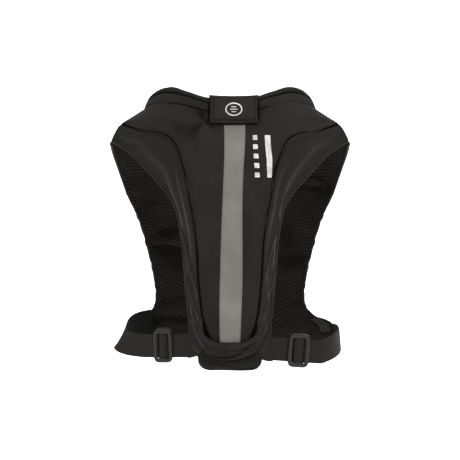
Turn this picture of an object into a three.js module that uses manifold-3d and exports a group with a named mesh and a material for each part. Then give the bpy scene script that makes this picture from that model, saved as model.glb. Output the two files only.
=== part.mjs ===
// Inflatable harness vest: a slim back pod on two shoulder bridges, two hinged front panels,
// a stand collar with a lift-up neck tab, side straps with sliding adjusters and, inside the
// pod, a folded bladder with its gas inflator.
// Millimetres. +X is the wearer's right, +Y is forward, +Z is up.
// The origin is the collar seam at the centre back of the neck.
import * as THREE from 'three';
import { mergeVertices } from 'three/addons/utils/BufferGeometryUtils.js';
import Module from 'manifold-3d';

const wasm = await Module();
wasm.setup();

// ---- driving dimensions ----
const WIDTH = 416; // over both shoulder tips
const HEIGHT = 486; // collar peak to tail
const DEPTH = 244; // back pod to front zip
const DRAWN = { width: 416, height: 486, depth: 244 }; // the size that the pattern points are drawn for

const SHELL = 2.4; // cover fabric with its backing
const LINING = 3; // spacer mesh
const SHOULDER_PAD = 7;
const COLLAR_THICK = 4;
const LAYER_GAP = 0.4; // between layers that lie on each other
const SEAM_ALLOWANCE = 1.9; // each panel stops this far short of a seam line
const GUSSET_ALLOWANCE = 4; // the side gussets stop shorter at the princess seam, where they fold under
const BEND_ALLOWANCE = 11; // and shorter still where that seam turns out to the shoulder
const SWING_GAP = 8; // open ring between a shoulder bridge and the front panel that swings past it

const STRIPE_WIDTH = 36;
const STRIPE_THICK = 0.8;
const STRIPE_LIFT = 0.8; // over the crown of the cover
const WEBBING_WIDTH = 40;
const WEBBING_THICK = 1.6;
const SLOT_CLEARANCE = 1; // round webbing in an adjuster
const ADJUSTER = { length: 37, bar: 6, rail: 6, thick: 3.4 };

const TAB = { width: 85, height: 43, thick: 2.6 }; // its height is graded with the vest's
const HOOK_TAPE = { width: 60, height: 18, thick: 1 }; // and so is this one's
const BADGE_RADIUS = 16;
const BADGE_THICK = 0.8;
const FLAP = { halfWidth: 46, height: 23, thick: 2.4 };
const PAD = { halfWidth: 42, top: -90, bottom: -330, thick: 8 };

const ZIP = { chain: 2, tape: 6, gap: 3, chainThick: 2.2, tapeThick: 1, slider: 12 };
const ZIP_CLEARANCE = 0.35;
const PULL = { width: 6, length: 26, thick: 1.6 };

const CYLINDER = { radius: 12.5, length: 112, neckRadius: 6.5, neckLength: 12 };
const INFLATOR = { width: 38, depth: 26, height: 36 };
const PIN = { radius: 3, headRadius: 5, headHeight: 3, travel: 3 };
const KEY = { width: 14, length: 30, thick: 3 };
const VALVE = { radius: 11, depth: 16, bore: 4.6, poppet: 4 };
const BORE_CLEARANCE = 0.4;

// ---- pattern: points drawn for the DRAWN size and graded to the driving dimensions ----
const gradeX = (x) => (x * WIDTH) / DRAWN.width;
const gradeY = (y) => (y * DEPTH) / DRAWN.depth;
const gradeZ = (z) => (z * HEIGHT) / DRAWN.height;
const graded = ([x, y, z]) => new THREE.Vector3(gradeX(x), gradeY(y), gradeZ(z));
const rail = (points) => new THREE.CatmullRomCurve3(points.map(graded), false, 'centripetal');

// rails of the wearer's right half, each from the tail up
const SPINE = rail([
  [0, -30, -400], [0, -39, -350], [0, -44, -290], [0, -46, -212],
  [0, -43, -140], [0, -32, -85], [0, -12, -38], [0, -7, -3],
]);
const PRINCESS = rail([
  [34, -26, -394], [46, -32, -350], [53, -36, -290], [57.5, -37, -212],
  [68, -33, -150], [78, -26, -98], [88, -17, -66], [102, -9, -47],
  [120, 3, -39], [150, 26, -32], [172, 46, -25], [190, 64, -18],
]);
const ARMHOLE = rail([
  [56, -4, -404], [69, 0, -350], [75, 1, -290], [82, 3, -212],
  [92, 6, -165], [108, 11, -139], [128, 18, -116], [147, 28, -96],
  [163, 38, -78], [183, 51, -62], [199, 62, -53], [208, 72, -49],
]);
const NECK = rail([
  [0, -7, -3], [34, -7, -1], [75, 0, 10], [114, 26, 15], [136, 45, 12], [150, 65, 6],
]);
const INNER_SPINE = rail([
  [0, 5, -398], [0, 7, -290], [0, 8, -200], [0, 8, -120], [0, 7, -60], [0, 3, -14],
]);
const INNER_NECK = rail([
  [0, 3, -14], [34, 4, -10], [75, 13, 1], [112, 34, 5], [132, 48, 3], [145, 66, -3],
]);

// collar rails run from the centre back over the shoulder to the front end
const COLLAR_SEAM = rail([
  [0, -8, -2], [34, -8, 0], [75, 0, 11], [114, 26, 16],
  [136, 45, 13], [150, 65, 7], [150, 92, -7], [143, 116, -28],
]);
const COLLAR_SPLIT = rail([
  [0, -8, 12], [34, -8, 11], [72, -1, 24], [106, 23, 34],
  [130, 44, 31], [145, 66, 20], [146, 92, 4], [141, 116, -20],
]);
const COLLAR_TOP = rail([
  [0, -7, 20], [34, -7, 20], [70, 0, 31], [100, 22, 42],
  [124, 44, 39], [139, 66, 29], [142, 92, 13], [139, 116, -13],
]);

// shoulder bridges: neck edge, crest and armhole edge, from the ridge forward
const BRIDGE = [
  rail([[150, 65, 6], [150, 92, -9], [143, 118, -30]]),
  rail([[188, 66, -18], [184, 100, -38], [172, 131, -61]]),
  rail([[208, 72, -49], [206, 103, -66], [199, 133, -90]]),
];
// front panels: neck and zip edge, middle and armhole edge, from the shoulder down
const ZIP_EDGE = ZIP.gap + ZIP.chain + ZIP.tape + 3 * LAYER_GAP;
const frontRails = (edge) => [
  rail([
    [136, 123, -36], [118, 155, -88], [88, 176, -145], [50, 188, -200],
    [edge, 194, -250], [edge, 193, -300], [edge, 190, -345], [edge, 188, -376], [edge, 186, -404],
  ]),
  rail([
    [167, 141, -68], [150, 163, -112], [127, 176, -165], [100, 184, -222],
    [74, 190, -275], [74, 189, -318], [80, 184, -354], [88, 180, -384], [90, 177, -408],
  ]),
  rail([
    [196, 144, -99], [184, 157, -140], [163, 166, -187], [146, 172, -251],
    [135, 176, -306], [138, 175, -346], [160, 165, -366], [183, 149, -375], [184, 148, -410],
  ]),
];
const FRONT = frontRails((ZIP_EDGE * DRAWN.width) / WIDTH);

// ---- helpers ----
const RIGHT = 1;
const LEFT = -1;
const SIDES = [[LEFT, 'left'], [RIGHT, 'right']];
const group = new THREE.Group();

const FINISH = {
  ripstop: { color: 0x33302f, roughness: 0.85, metalness: 0 },
  satin: { color: 0x3c3a37, roughness: 0.55, metalness: 0 },
  mesh: { color: 0x1c1a1a, roughness: 0.95, metalness: 0 },
  webbing: { color: 0x37332f, roughness: 0.8, metalness: 0 },
  reflective: { color: 0x807d76, roughness: 0.45, metalness: 0.1 },
  print: { color: 0xc8c8c4, roughness: 0.6, metalness: 0 },
  moulded: { color: 0x262424, roughness: 0.4, metalness: 0 },
  bladder: { color: 0x6a6c70, roughness: 0.5, metalness: 0 },
  metal: { color: 0xb6b8ba, roughness: 0.35, metalness: 1 },
  signal: { color: 0xb3261e, roughness: 0.4, metalness: 0 },
};

function addMesh(name, geometry, finish) {
  const material = new THREE.MeshStandardMaterial(FINISH[finish]);
  const mesh = new THREE.Mesh(geometry, material);
  mesh.name = name;
  group.add(mesh);
  return mesh;
}

function volumeOf(geometry) {
  const at = geometry.attributes.position;
  const index = geometry.index.array;
  const [a, b, c] = [new THREE.Vector3(), new THREE.Vector3(), new THREE.Vector3()];
  let total = 0;
  for (let i = 0; i < index.length; i += 3) {
    a.fromBufferAttribute(at, index[i]);
    b.fromBufferAttribute(at, index[i + 1]);
    c.fromBufferAttribute(at, index[i + 2]);
    total += a.dot(b.cross(c)) / 6;
  }
  return total;
}

function weld(geometry) {
  geometry.deleteAttribute('normal');
  geometry.deleteAttribute('uv');
  const welded = mergeVertices(geometry, 1e-3);
  if (volumeOf(welded) < 0) welded.index.array.reverse();
  return welded;
}

// a block of across x along cells whose corners go where place(u, v, w) says, each from 0 to 1
function mapped(place, across, along, deep = 1) {
  const geometry = new THREE.BoxGeometry(1, 1, 1, across, along, deep);
  const at = geometry.attributes.position;
  for (let i = 0; i < at.count; i += 1) {
    const p = place(at.getX(i) + 0.5, at.getY(i) + 0.5, at.getZ(i) + 0.5);
    at.setXYZ(i, p.x, p.y, p.z);
  }
  return weld(geometry);
}

// a sheet on surface(u, v) that fills from depth near to depth far on its inner side
function sheet(surface, near, far, across, along, inward = 1) {
  const step = 1e-3;
  const normalAt = (u, v) => {
    const [u0, v0] = [Math.min(u, 1 - step), Math.min(v, 1 - step)];
    const du = surface(u0 + step, v0).sub(surface(u0, v0));
    const dv = surface(u0, v0 + step).sub(surface(u0, v0));
    return du.cross(dv).normalize().multiplyScalar(inward);
  };
  const place = (u, v, w) => {
    const depth = THREE.MathUtils.lerp(near, far, w);
    return surface(u, v).addScaledVector(normalAt(u, v), depth);
  };
  return mapped(place, across, along);
}

const mirroredX = (p, side) => new THREE.Vector3(p.x * side, p.y, p.z);
// runs a parameter between the two seam allowances of a span that is length long
const inset = (t, length, margin = SEAM_ALLOWANCE) =>
  THREE.MathUtils.lerp(margin / length, 1 - margin / length, t);

// the point a share t of the way from a to b, level and square to the middle line at a
function crowned(a, b, t) {
  const t2 = t * t;
  return new THREE.Vector3(
    THREE.MathUtils.lerp(a.x, b.x, t),
    THREE.MathUtils.lerp(a.y, b.y, t2),
    THREE.MathUtils.lerp(a.z, b.z, t2),
  );
}

// the curve through three points, at a share t
function arched(a, m, b, t) {
  return new THREE.Vector3()
    .addScaledVector(a, (1 - t) * (1 - 2 * t))
    .addScaledVector(m, 4 * t * (1 - t))
    .addScaledVector(b, t * (2 * t - 1));
}

const RIDGE_SHARE = 0.9; // of a side rail's parameter, below the shoulder ridge
// a back patch between the middle line, a side rail that ends along the ridge, and the neck
function backPatch(middle, side, neck, shift) {
  const sideAt = (v) => {
    if (v <= RIDGE_SHARE) return side.getPoint(v / RIDGE_SHARE).add(shift(v));
    const share = (v - RIDGE_SHARE) / (1 - RIDGE_SHARE);
    return side.getPoint(1).add(shift(RIDGE_SHARE)).lerp(neck.getPoint(1), share);
  };
  const corner = { tail: sideAt(0), neck: sideAt(1), low: middle.getPoint(0), high: middle.getPoint(1) };
  return (u, v) => {
    const signed = 2 * u - 1;
    const t = Math.abs(signed);
    const sides = crowned(middle.getPoint(v), sideAt(v), t);
    const tail = crowned(corner.low, corner.tail, t);
    const ends = tail.clone().lerp(neck.getPoint(t), v);
    const tie = crowned(corner.low, corner.tail, t).lerp(crowned(corner.high, corner.neck, t), v);
    return mirroredX(sides.add(ends).sub(tie), Math.sign(signed) || RIGHT);
  };
}

function manifoldOf(geometry) {
  const welded = geometry.index && !geometry.attributes.normal ? geometry : weld(geometry);
  const mesh = new wasm.Mesh({
    numProp: 3,
    vertProperties: new Float32Array(welded.attributes.position.array),
    triVerts: new Uint32Array(welded.index.array),
  });
  return new wasm.Manifold(mesh);
}

function geometryOf(solid) {
  const mesh = solid.getMesh();
  const geometry = new THREE.BufferGeometry();
  geometry.setAttribute('position', new THREE.BufferAttribute(new Float32Array(mesh.vertProperties), 3));
  geometry.setIndex([...mesh.triVerts]);
  return geometry;
}

function join(...geometries) {
  return geometryOf(geometries.map(manifoldOf).reduce((sum, solid) => sum.add(solid)));
}

function cut(geometry, ...tools) {
  return geometryOf(tools.map(manifoldOf).reduce((rest, tool) => rest.subtract(tool), manifoldOf(geometry)));
}

// a box from its lowest to its highest corner
function block(low, high) {
  const size = high.map((value, i) => value - low[i]);
  const middle = high.map((value, i) => (value + low[i]) / 2);
  return new THREE.BoxGeometry(...size).translate(...middle);
}

// an upright rod, or one along Y
function rod(radius, low, high, x, y, sides = 24) {
  return new THREE.CylinderGeometry(radius, radius, high - low, sides).rotateX(Math.PI / 2)
    .translate(x, y, (low + high) / 2);
}
function rodAlongY(radius, low, high, x, z, sides = 24) {
  return new THREE.CylinderGeometry(radius, radius, high - low, sides).translate(x, (low + high) / 2, z);
}

// ---- back pod ----
const noShift = () => new THREE.Vector3();
const coverSurface = backPatch(SPINE, PRINCESS, NECK, noShift);

// panels that meet along the princess seam share these cells, so their facets meet too
const BACK_CELLS = 20;
const SIDE_CELLS = BACK_CELLS * RIDGE_SHARE;
function backCover() {
  const surface = (u, v) => {
    const along = inset(v, HEIGHT);
    return coverSurface(inset(u, 2 * coverSurface(1, along).x), along);
  };
  addMesh('back_cover', sheet(surface, 0, SHELL, 18, BACK_CELLS, -1), 'ripstop');
}

function stripe() {
  const half = STRIPE_WIDTH / 2;
  const surface = (u, v) => {
    const along = inset(v * RIDGE_SHARE, HEIGHT);
    const reach = coverSurface(1, along).x;
    return coverSurface(0.5 + ((u - 0.5) * half) / reach, along);
  };
  const face = -STRIPE_LIFT - STRIPE_THICK;
  addMesh('reflective_stripe', sheet(surface, face, -STRIPE_LIFT, 2, SIDE_CELLS, -1), 'reflective');
}

function gussets() {
  SIDES.forEach(([side, word]) => {
    const surface = (u, v) => {
      const along = inset(v * RIDGE_SHARE, HEIGHT) / RIDGE_SHARE;
      const [seam, edge] = [PRINCESS.getPoint(along), ARMHOLE.getPoint(along)];
      const width = seam.distanceTo(edge);
      const allowance = GUSSET_ALLOWANCE + BEND_ALLOWANCE * Math.sin(Math.PI * along ** 2) ** 2;
      const across = THREE.MathUtils.lerp(allowance / width, 1 - SEAM_ALLOWANCE / width, u);
      return mirroredX(seam.lerp(edge, across), side);
    };
    addMesh(`side_gusset_${word}`, sheet(surface, 0, SHELL, 4, SIDE_CELLS, -side), 'satin');
  });
}

const LINER_EDGE = new THREE.Vector3(-2, 3.5, 0); // from the armhole edge along the pod
const LINER_RIDGE = new THREE.Vector3(-5, 1, -9); // under the shoulder ridge
function backLiner() {
  const shift = (v) => LINER_EDGE.clone().lerp(LINER_RIDGE, v * v);
  const surface = backPatch(INNER_SPINE, ARMHOLE, INNER_NECK, shift);
  addMesh('back_liner', sheet((u, v) => surface(u, inset(v, HEIGHT)), 0, LINING, 16, 18, -1), 'mesh');
}

function roundedPlate(halfWidth, bottom, top, radius) {
  const shape = new THREE.Shape();
  shape.moveTo(-halfWidth + radius, bottom);
  shape.lineTo(halfWidth - radius, bottom);
  shape.absarc(halfWidth - radius, bottom + radius, radius, -Math.PI / 2, 0);
  shape.absarc(halfWidth - radius, top - radius, radius, 0, Math.PI / 2);
  shape.absarc(-halfWidth + radius, top - radius, radius, Math.PI / 2, Math.PI);
  shape.absarc(-halfWidth + radius, bottom + radius, radius, Math.PI, 1.5 * Math.PI);
  return shape;
}

// a plate in the XZ plane whose faces are at y = near and y = far
function plate(shape, near, far, curveSegments = 6) {
  return new THREE.ExtrudeGeometry(shape, { depth: far - near, bevelEnabled: false, curveSegments })
    .rotateX(Math.PI / 2).translate(0, far, 0);
}

const PAD_FACE = gradeY(8) + LINING + 2 + PAD.thick; // body side of the spine pad
function spinePad() {
  const shape = roundedPlate(PAD.halfWidth, gradeZ(PAD.bottom), gradeZ(PAD.top), 14);
  addMesh('spine_pad', weld(plate(shape, PAD_FACE - PAD.thick, PAD_FACE)), 'mesh');
}

// ---- tail: a scooped pouch under the pod and a flap over its mouth ----
const TAIL = {
  top: gradeZ(-407),
  bottom: gradeZ(-442),
  front: gradeY(-33),
  back: gradeY(3),
  halfWidth: gradeX(55),
};
function tailPouch() {
  const surface = (u, v) => {
    const turn = Math.PI * v;
    const depth = (TAIL.back - TAIL.front) / 2;
    const drop = Math.sin(turn);
    const half = TAIL.halfWidth * (1 - 0.3 * drop ** 3);
    const across = 2 * u - 1;
    const sag = 1 - 0.35 * across ** 4;
    return new THREE.Vector3(
      across * half,
      TAIL.front + depth - depth * Math.cos(turn),
      TAIL.top + (TAIL.bottom - TAIL.top) * drop * sag,
    );
  };
  addMesh('tail_pouch', sheet(surface, 0, SHELL, 12, 10), 'moulded');
}

const FLAP_HINGE = { y: gradeY(-36), z: gradeZ(-393) };
function tailFlap() {
  const outer = TAIL.front - 2 * LAYER_GAP - 5;
  const surface = (u, v) => {
    const across = 2 * u - 1;
    const height = FLAP.height * (0.72 + 0.28 * Math.sqrt(1 - 0.9 * across * across));
    const y = outer + 3 * across * across;
    return new THREE.Vector3(across * FLAP.halfWidth, y, FLAP_HINGE.z - height * (1 - v));
  };
  addMesh('tail_flap', sheet(surface, 0, FLAP.thick, 10, 3, -1), 'ripstop');
  const shape = roundedPlate(14, FLAP_HINGE.z - 17, FLAP_HINGE.z - 9, 2);
  const face = outer + FLAP.thick + LAYER_GAP + 0.5;
  addMesh('flap_hook_tape', weld(plate(shape, face, face + 0.8)), 'webbing');
}

// ---- collar and neck tab ----
const COLLAR_ZIP_HEIGHT = 3.2;
const BAND_ALLOWANCE = 0.28 * COLLAR_THICK; // where the bands' thick edges turn towards each other
const ZIP_ALLOWANCE = 0.75;
function collarBand(name, low, high, near, far, allowance, finish) {
  const surface = (u, v) => {
    const signed = 2 * u - 1;
    const t = Math.abs(signed) * 0.995;
    const [foot, brim] = [low.getPoint(t), high.getPoint(t)];
    const across = inset(v, foot.distanceTo(brim), allowance);
    return mirroredX(foot.lerp(brim, across), Math.sign(signed) || RIGHT);
  };
  addMesh(name, sheet(surface, near, far, 32, 1, -1), finish);
}

function collar() {
  const zipTop = {
    getPoint(t) {
      const from = COLLAR_SPLIT.getPoint(t);
      const to = COLLAR_TOP.getPoint(t);
      return from.clone().lerp(to, COLLAR_ZIP_HEIGHT / from.distanceTo(to));
    },
  };
  collarBand('collar_lower_band', COLLAR_SEAM, COLLAR_SPLIT, 0, COLLAR_THICK, BAND_ALLOWANCE, 'ripstop');
  collarBand('collar_zip', COLLAR_SPLIT, zipTop, 1, COLLAR_THICK - 0.5, ZIP_ALLOWANCE, 'mesh');
  collarBand('collar_upper_band', zipTop, COLLAR_TOP, 0, COLLAR_THICK, BAND_ALLOWANCE, 'satin');
}

const COLLAR_FACE = gradeY(-8);
const TAPE_FACE = COLLAR_FACE - LAYER_GAP - HOOK_TAPE.thick;
const HOOK_FACE = TAPE_FACE - LAYER_GAP - HOOK_TAPE.thick;
const TAB_FACE = HOOK_FACE - LAYER_GAP - TAB.thick;
const TAB_TOP = gradeZ(20);
const TAB_FOOT = TAB_TOP - gradeZ(TAB.height);
const FOLD_CLEARANCE = 1.2;
function neckTab() {
  const tabPlate = roundedPlate(TAB.width / 2, TAB_FOOT, TAB_TOP, 4);
  const tapeTop = gradeZ(8);
  const tape = (halfWidth) => roundedPlate(halfWidth, tapeTop - gradeZ(HOOK_TAPE.height), tapeTop, 2);
  addMesh('neck_tab', weld(plate(tabPlate, TAB_FACE, TAB_FACE + TAB.thick)), 'ripstop');
  const half = HOOK_TAPE.width / 2;
  addMesh('tab_hook_tape', weld(plate(tape(half), HOOK_FACE, HOOK_FACE + HOOK_TAPE.thick)), 'webbing');
  const loop = plate(tape(half), TAPE_FACE, TAPE_FACE + HOOK_TAPE.thick);
  addMesh('collar_loop_tape', weld(loop), 'webbing');
  const badgeFace = TAB_FACE - LAYER_GAP;
  const disc = rodAlongY(BADGE_RADIUS, badgeFace - BADGE_THICK, badgeFace, 0, 0, 32);
  addMesh('tab_badge', weld(disc), 'print');
  // the sewn root of the tab lies over the collar's brim and down its inner side
  const top = TAB_TOP + FOLD_CLEARANCE;
  const inner = COLLAR_FACE + COLLAR_THICK + FOLD_CLEARANCE + 1;
  const reach = TAB.width / 2 - 2;
  const over = block([-reach, TAB_FACE, top], [reach, inner + TAB.thick, top + TAB.thick]);
  const down = block([-reach, inner, top - 15], [reach, inner + TAB.thick, top + TAB.thick]);
  addMesh('tab_root', join(over, down), 'ripstop');
}

// ---- shoulder bridges and front panels ----
function shoulderBridges() {
  SIDES.forEach(([side, word]) => {
    const surface = (u, v) => {
      const [neck, crest, edge] = BRIDGE.map((curve) => curve.getPoint(inset(v, gradeY(66), 3)));
      return mirroredX(arched(neck, crest, edge, inset(u, neck.distanceTo(edge), 3)), side);
    };
    addMesh(`shoulder_bridge_${word}`, sheet(surface, 0, SHOULDER_PAD, 6, 6, -side), 'ripstop');
  });
}

const LINING_FACE = SHELL + LAYER_GAP;
function frontPanels() {
  SIDES.forEach(([side, word]) => {
    const surface = (u, v) => {
      const [edge, middle, armhole] = FRONT.map((curve) => curve.getPoint(v));
      return mirroredX(arched(edge, middle, armhole, u), side);
    };
    addMesh(`front_panel_${word}`, sheet(surface, 0, SHELL, 8, 20, side), 'ripstop');
    addMesh(`front_lining_${word}`, sheet(surface, LINING_FACE, LINING_FACE + LINING, 8, 20, side), 'mesh');
  });
}

// ---- front zip: chains and tapes along the straight part of each zip edge ----
const ZIP_TOP = gradeZ(-254);
const ZIP_BOTTOM = gradeZ(-400);
const zipY = (z) => {
  const share = THREE.MathUtils.inverseLerp(gradeZ(-250), gradeZ(-404), z);
  return THREE.MathUtils.lerp(gradeY(193.6), gradeY(185.6), share);
};
function zipStrip(side, from, to, thick) {
  const place = (u, v, w) => {
    const z = THREE.MathUtils.lerp(ZIP_BOTTOM, ZIP_TOP, v);
    const y = zipY(z) - SHELL / 2 + (w - 0.5) * thick;
    return new THREE.Vector3(side * THREE.MathUtils.lerp(from, to, u), y, z);
  };
  return mapped(place, 1, 1);
}
function frontZip() {
  SIDES.forEach(([side, word]) => {
    const chainEnd = ZIP.gap + ZIP.chain;
    const tapeStart = chainEnd + LAYER_GAP;
    addMesh(`zip_chain_${word}`, zipStrip(side, ZIP.gap, chainEnd, ZIP.chainThick), 'moulded');
    addMesh(`zip_tape_${word}`, zipStrip(side, tapeStart, tapeStart + ZIP.tape, ZIP.tapeThick), 'webbing');
  });
  const lean = Math.atan2(zipY(ZIP_TOP) - zipY(ZIP_BOTTOM), ZIP_TOP - ZIP_BOTTOM);
  const rest = new THREE.Vector3(0, zipY(ZIP_BOTTOM) - SHELL / 2, ZIP_BOTTOM);
  const seat = (geometry) => geometry.rotateX(-lean).translate(rest.x, rest.y, rest.z);
  const inner = ZIP.chainThick / 2 + ZIP_CLEARANCE;
  const outer = inner + 1.2;
  const reach = ZIP.gap + ZIP.chain + 3;
  const low = 2;
  const high = low + ZIP.slider;
  const web = block([0.8, -outer, low], [ZIP.gap - ZIP_CLEARANCE, outer, high]);
  const faces = [-1, 1].map((face) => {
    const [a, b] = [face * inner, face * outer].sort((one, other) => one - other);
    return block([0.8, a, low], [reach, b, high]);
  });
  addMesh('zip_slider', geometryOf(manifoldOf(seat(join(web, ...faces)))), 'metal');
  const front = outer + LAYER_GAP;
  const pullX = (reach + 0.8) / 2;
  const top = high - 2;
  const pull = block(
    [pullX - PULL.width / 2, front, top - PULL.length],
    [pullX + PULL.width / 2, front + PULL.thick, top],
  );
  addMesh('zip_pull', weld(seat(pull)), 'metal');
}

// ---- side straps ----
// each run leaves the pod straight, carries the adjuster, then curves round to the swing axis
const STRAPS = {
  left: { side: LEFT, from: [-60, -7, -400], to: [-146, 38, -404], adjusterAt: 0.62 },
  right: { side: RIGHT, from: [60, -8, -404], to: [154, 8, -412], adjusterAt: 0.6 },
};
const STRAP_BEND = 62; // distance forward of the pod face where a run ends, short of the swing line
const SWING_X = 191; // how far out a strap passes the line that its front panel swings about
const STRAP_LEVEL = -394; // its middle there
function webbing(path, along) {
  const surface = (u, v) => path.getPoint(v).add(new THREE.Vector3(0, 0, (u - 0.5) * WEBBING_WIDTH));
  const half = WEBBING_THICK / 2;
  return sheet(surface, -half, half, 1, along);
}

function adjuster(strap, from, to) {
  const { length, bar, rail: railWidth, thick } = ADJUSTER;
  const half = WEBBING_WIDTH / 2 + SLOT_CLEARANCE;
  const front = WEBBING_THICK / 2 + SLOT_CLEARANCE;
  const bars = [-1, 1].map((end) => {
    const edges = [end * (length / 2), end * (length / 2 - bar)].sort((a, b) => a - b);
    return block([edges[0], -front - thick, -half - 1], [edges[1], -front, half + 1]);
  });
  const rails = [-1, 1].map((end) => {
    const edges = [end * half, end * (half + railWidth)].sort((a, b) => a - b);
    return block([-length / 2, -front - thick, edges[0]], [length / 2, front + thick, edges[1]]);
  });
  const middle = block([-bar / 2, front, -half - 1], [bar / 2, front + thick, half + 1]);
  const frame = join(...bars, ...rails, middle);
  const run = to.clone().sub(from);
  const heading = Math.atan2(run.y * strap.side, run.x * strap.side);
  const slope = Math.atan2(run.z, Math.hypot(run.x, run.y));
  const centre = from.clone().lerp(to, strap.adjusterAt);
  return frame.rotateY(-slope * strap.side).rotateZ(heading).translate(centre.x, centre.y, centre.z);
}

function sideStraps() {
  SIDES.forEach(([side, word]) => {
    const strap = STRAPS[word];
    const [from, to] = [graded(strap.from), graded(strap.to)];
    const bend = graded([side * SWING_X, STRAP_BEND, STRAP_LEVEL]);
    const straight = new THREE.LineCurve3(from, to);
    const knee = graded([side * (SWING_X - 4), strap.to[1] + 12, STRAP_LEVEL - 8]);
    const sweep = new THREE.QuadraticBezierCurve3(to, knee, bend);
    const run = {
      getPoint(t) {
        const share = 0.6;
        return t <= share ? straight.getPoint(t / share) : sweep.getPoint((t - share) / (1 - share));
      },
    };
    addMesh(`side_strap_${word}`, webbing(run, 15), 'webbing');
    addMesh(`strap_adjuster_${word}`, weld(adjuster(strap, from, to)), 'moulded');
    const turn = new THREE.QuadraticBezierCurve3(
      graded([side * SWING_X, STRAP_BEND + SWING_GAP, STRAP_LEVEL]),
      graded([side * (SWING_X + 2), 112, STRAP_LEVEL + 1]),
      graded([side * (SWING_X - 4), 146, STRAP_LEVEL + 1]),
    );
    addMesh(`strap_return_${word}`, webbing(turn, 6), 'webbing');
    const patch = (u, v) => {
      const corner = FRONT.map((curve) => curve.getPoint(0.9 + 0.085 * v));
      return mirroredX(arched(...corner, 0.8 + 0.19 * u), side);
    };
    const face = LINING_FACE + LINING + LAYER_GAP;
    addMesh(`strap_anchor_${word}`, sheet(patch, face, face + WEBBING_THICK, 2, 3, side), 'webbing');
  });
}

// ---- inside the pod ----
const POD = { y: gradeY(-13), inflatorTop: gradeZ(-236) };
const INFLATOR_LOW = POD.inflatorTop - INFLATOR.height;
function bladder() {
  const place = (u, v, w) => {
    const along = THREE.MathUtils.lerp(0.47, 0.8, v);
    const spine = SPINE.getPoint(along);
    const half = Math.min(PRINCESS.getPoint(along).x, gradeX(70)) - 14;
    const across = 2 * u - 1;
    const back = spine.y + 9 + 4 * across * across;
    const front = gradeY(3) - 4 * across * across;
    return new THREE.Vector3(across * half, THREE.MathUtils.lerp(back, front, w), spine.z);
  };
  addMesh('folded_bladder', mapped(place, 8, 8), 'bladder');
}

function inflator() {
  const { width, depth } = INFLATOR;
  const neckTop = INFLATOR_LOW + CYLINDER.neckLength;
  const bore = rod(CYLINDER.neckRadius + BORE_CLEARANCE, INFLATOR_LOW - 1, neckTop + 1, 0, POD.y);
  const pinBore = rod(PIN.radius + BORE_CLEARANCE, INFLATOR_LOW, POD.inflatorTop + 1, 0, POD.y);
  const casing = block(
    [-width / 2, POD.y - depth / 2, INFLATOR_LOW],
    [width / 2, POD.y + depth / 2, POD.inflatorTop],
  );
  addMesh('inflator_body', cut(casing, bore, pinBore), 'moulded');

  const cylinderTop = INFLATOR_LOW - 2;
  const cylinderLow = cylinderTop - CYLINDER.length;
  const profile = [
    [0, cylinderLow],
    [CYLINDER.radius - 4, cylinderLow],
    [CYLINDER.radius, cylinderLow + 5],
    [CYLINDER.radius, cylinderTop - 14],
    [CYLINDER.neckRadius, cylinderTop - 2],
    [CYLINDER.neckRadius, neckTop],
    [0, neckTop],
  ].map(([r, z]) => new THREE.Vector2(r, z));
  const bottle = new THREE.LatheGeometry(profile, 24).rotateX(Math.PI / 2);
  addMesh('gas_cylinder', weld(bottle.translate(0, POD.y, 0)), 'metal');

  const keyLow = POD.inflatorTop + LAYER_GAP;
  const keyHigh = keyLow + KEY.thick;
  const headLow = keyHigh + PIN.travel + LAYER_GAP;
  const shank = rod(PIN.radius, neckTop + PIN.travel + 2, headLow + 1, 0, POD.y);
  const head = rod(PIN.headRadius, headLow, headLow + PIN.headHeight, 0, POD.y);
  addMesh('firing_pin', join(shank, head), 'metal');

  const slot = PIN.radius + 2 * BORE_CLEARANCE;
  const halfKey = KEY.width / 2;
  const tongue = block([-slot - 3, POD.y - halfKey, keyLow], [KEY.length - 6, POD.y + halfKey, keyHigh]);
  const notch = block([-slot - 4, POD.y - slot, keyLow - 1], [slot, POD.y + slot, keyHigh + 1]);
  addMesh('trigger_key', cut(tongue, notch), 'signal');

  const valveX = INFLATOR.width / 2 + VALVE.radius + 5;
  const valveZ = INFLATOR_LOW + 8;
  const valveLow = POD.y - VALVE.depth / 2;
  const ring = rodAlongY(VALVE.radius, valveLow, valveLow + VALVE.depth, valveX, valveZ);
  const through = rodAlongY(VALVE.bore, valveLow - 1, valveLow + VALVE.depth + 1, valveX, valveZ);
  addMesh('relief_valve', cut(ring, through), 'moulded');
  const poppet = rodAlongY(VALVE.poppet, valveLow + 2, valveLow + VALVE.depth + 1, valveX, valveZ);
  addMesh('relief_poppet', weld(poppet), 'metal');
}

backCover();
stripe();
gussets();
backLiner();
spinePad();
tailPouch();
tailFlap();
collar();
neckTab();
shoulderBridges();
frontPanels();
frontZip();
sideStraps();
bladder();
inflator();

export default group;
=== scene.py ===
"""Inflatable harness vest: cloth, webbing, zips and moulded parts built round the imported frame."""

from __future__ import annotations

import logging
import math
from collections.abc import Callable, Sequence
from dataclasses import dataclass
from enum import Enum

import bmesh
import bpy
import numpy as np
from mathutils import Matrix, Vector


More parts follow.
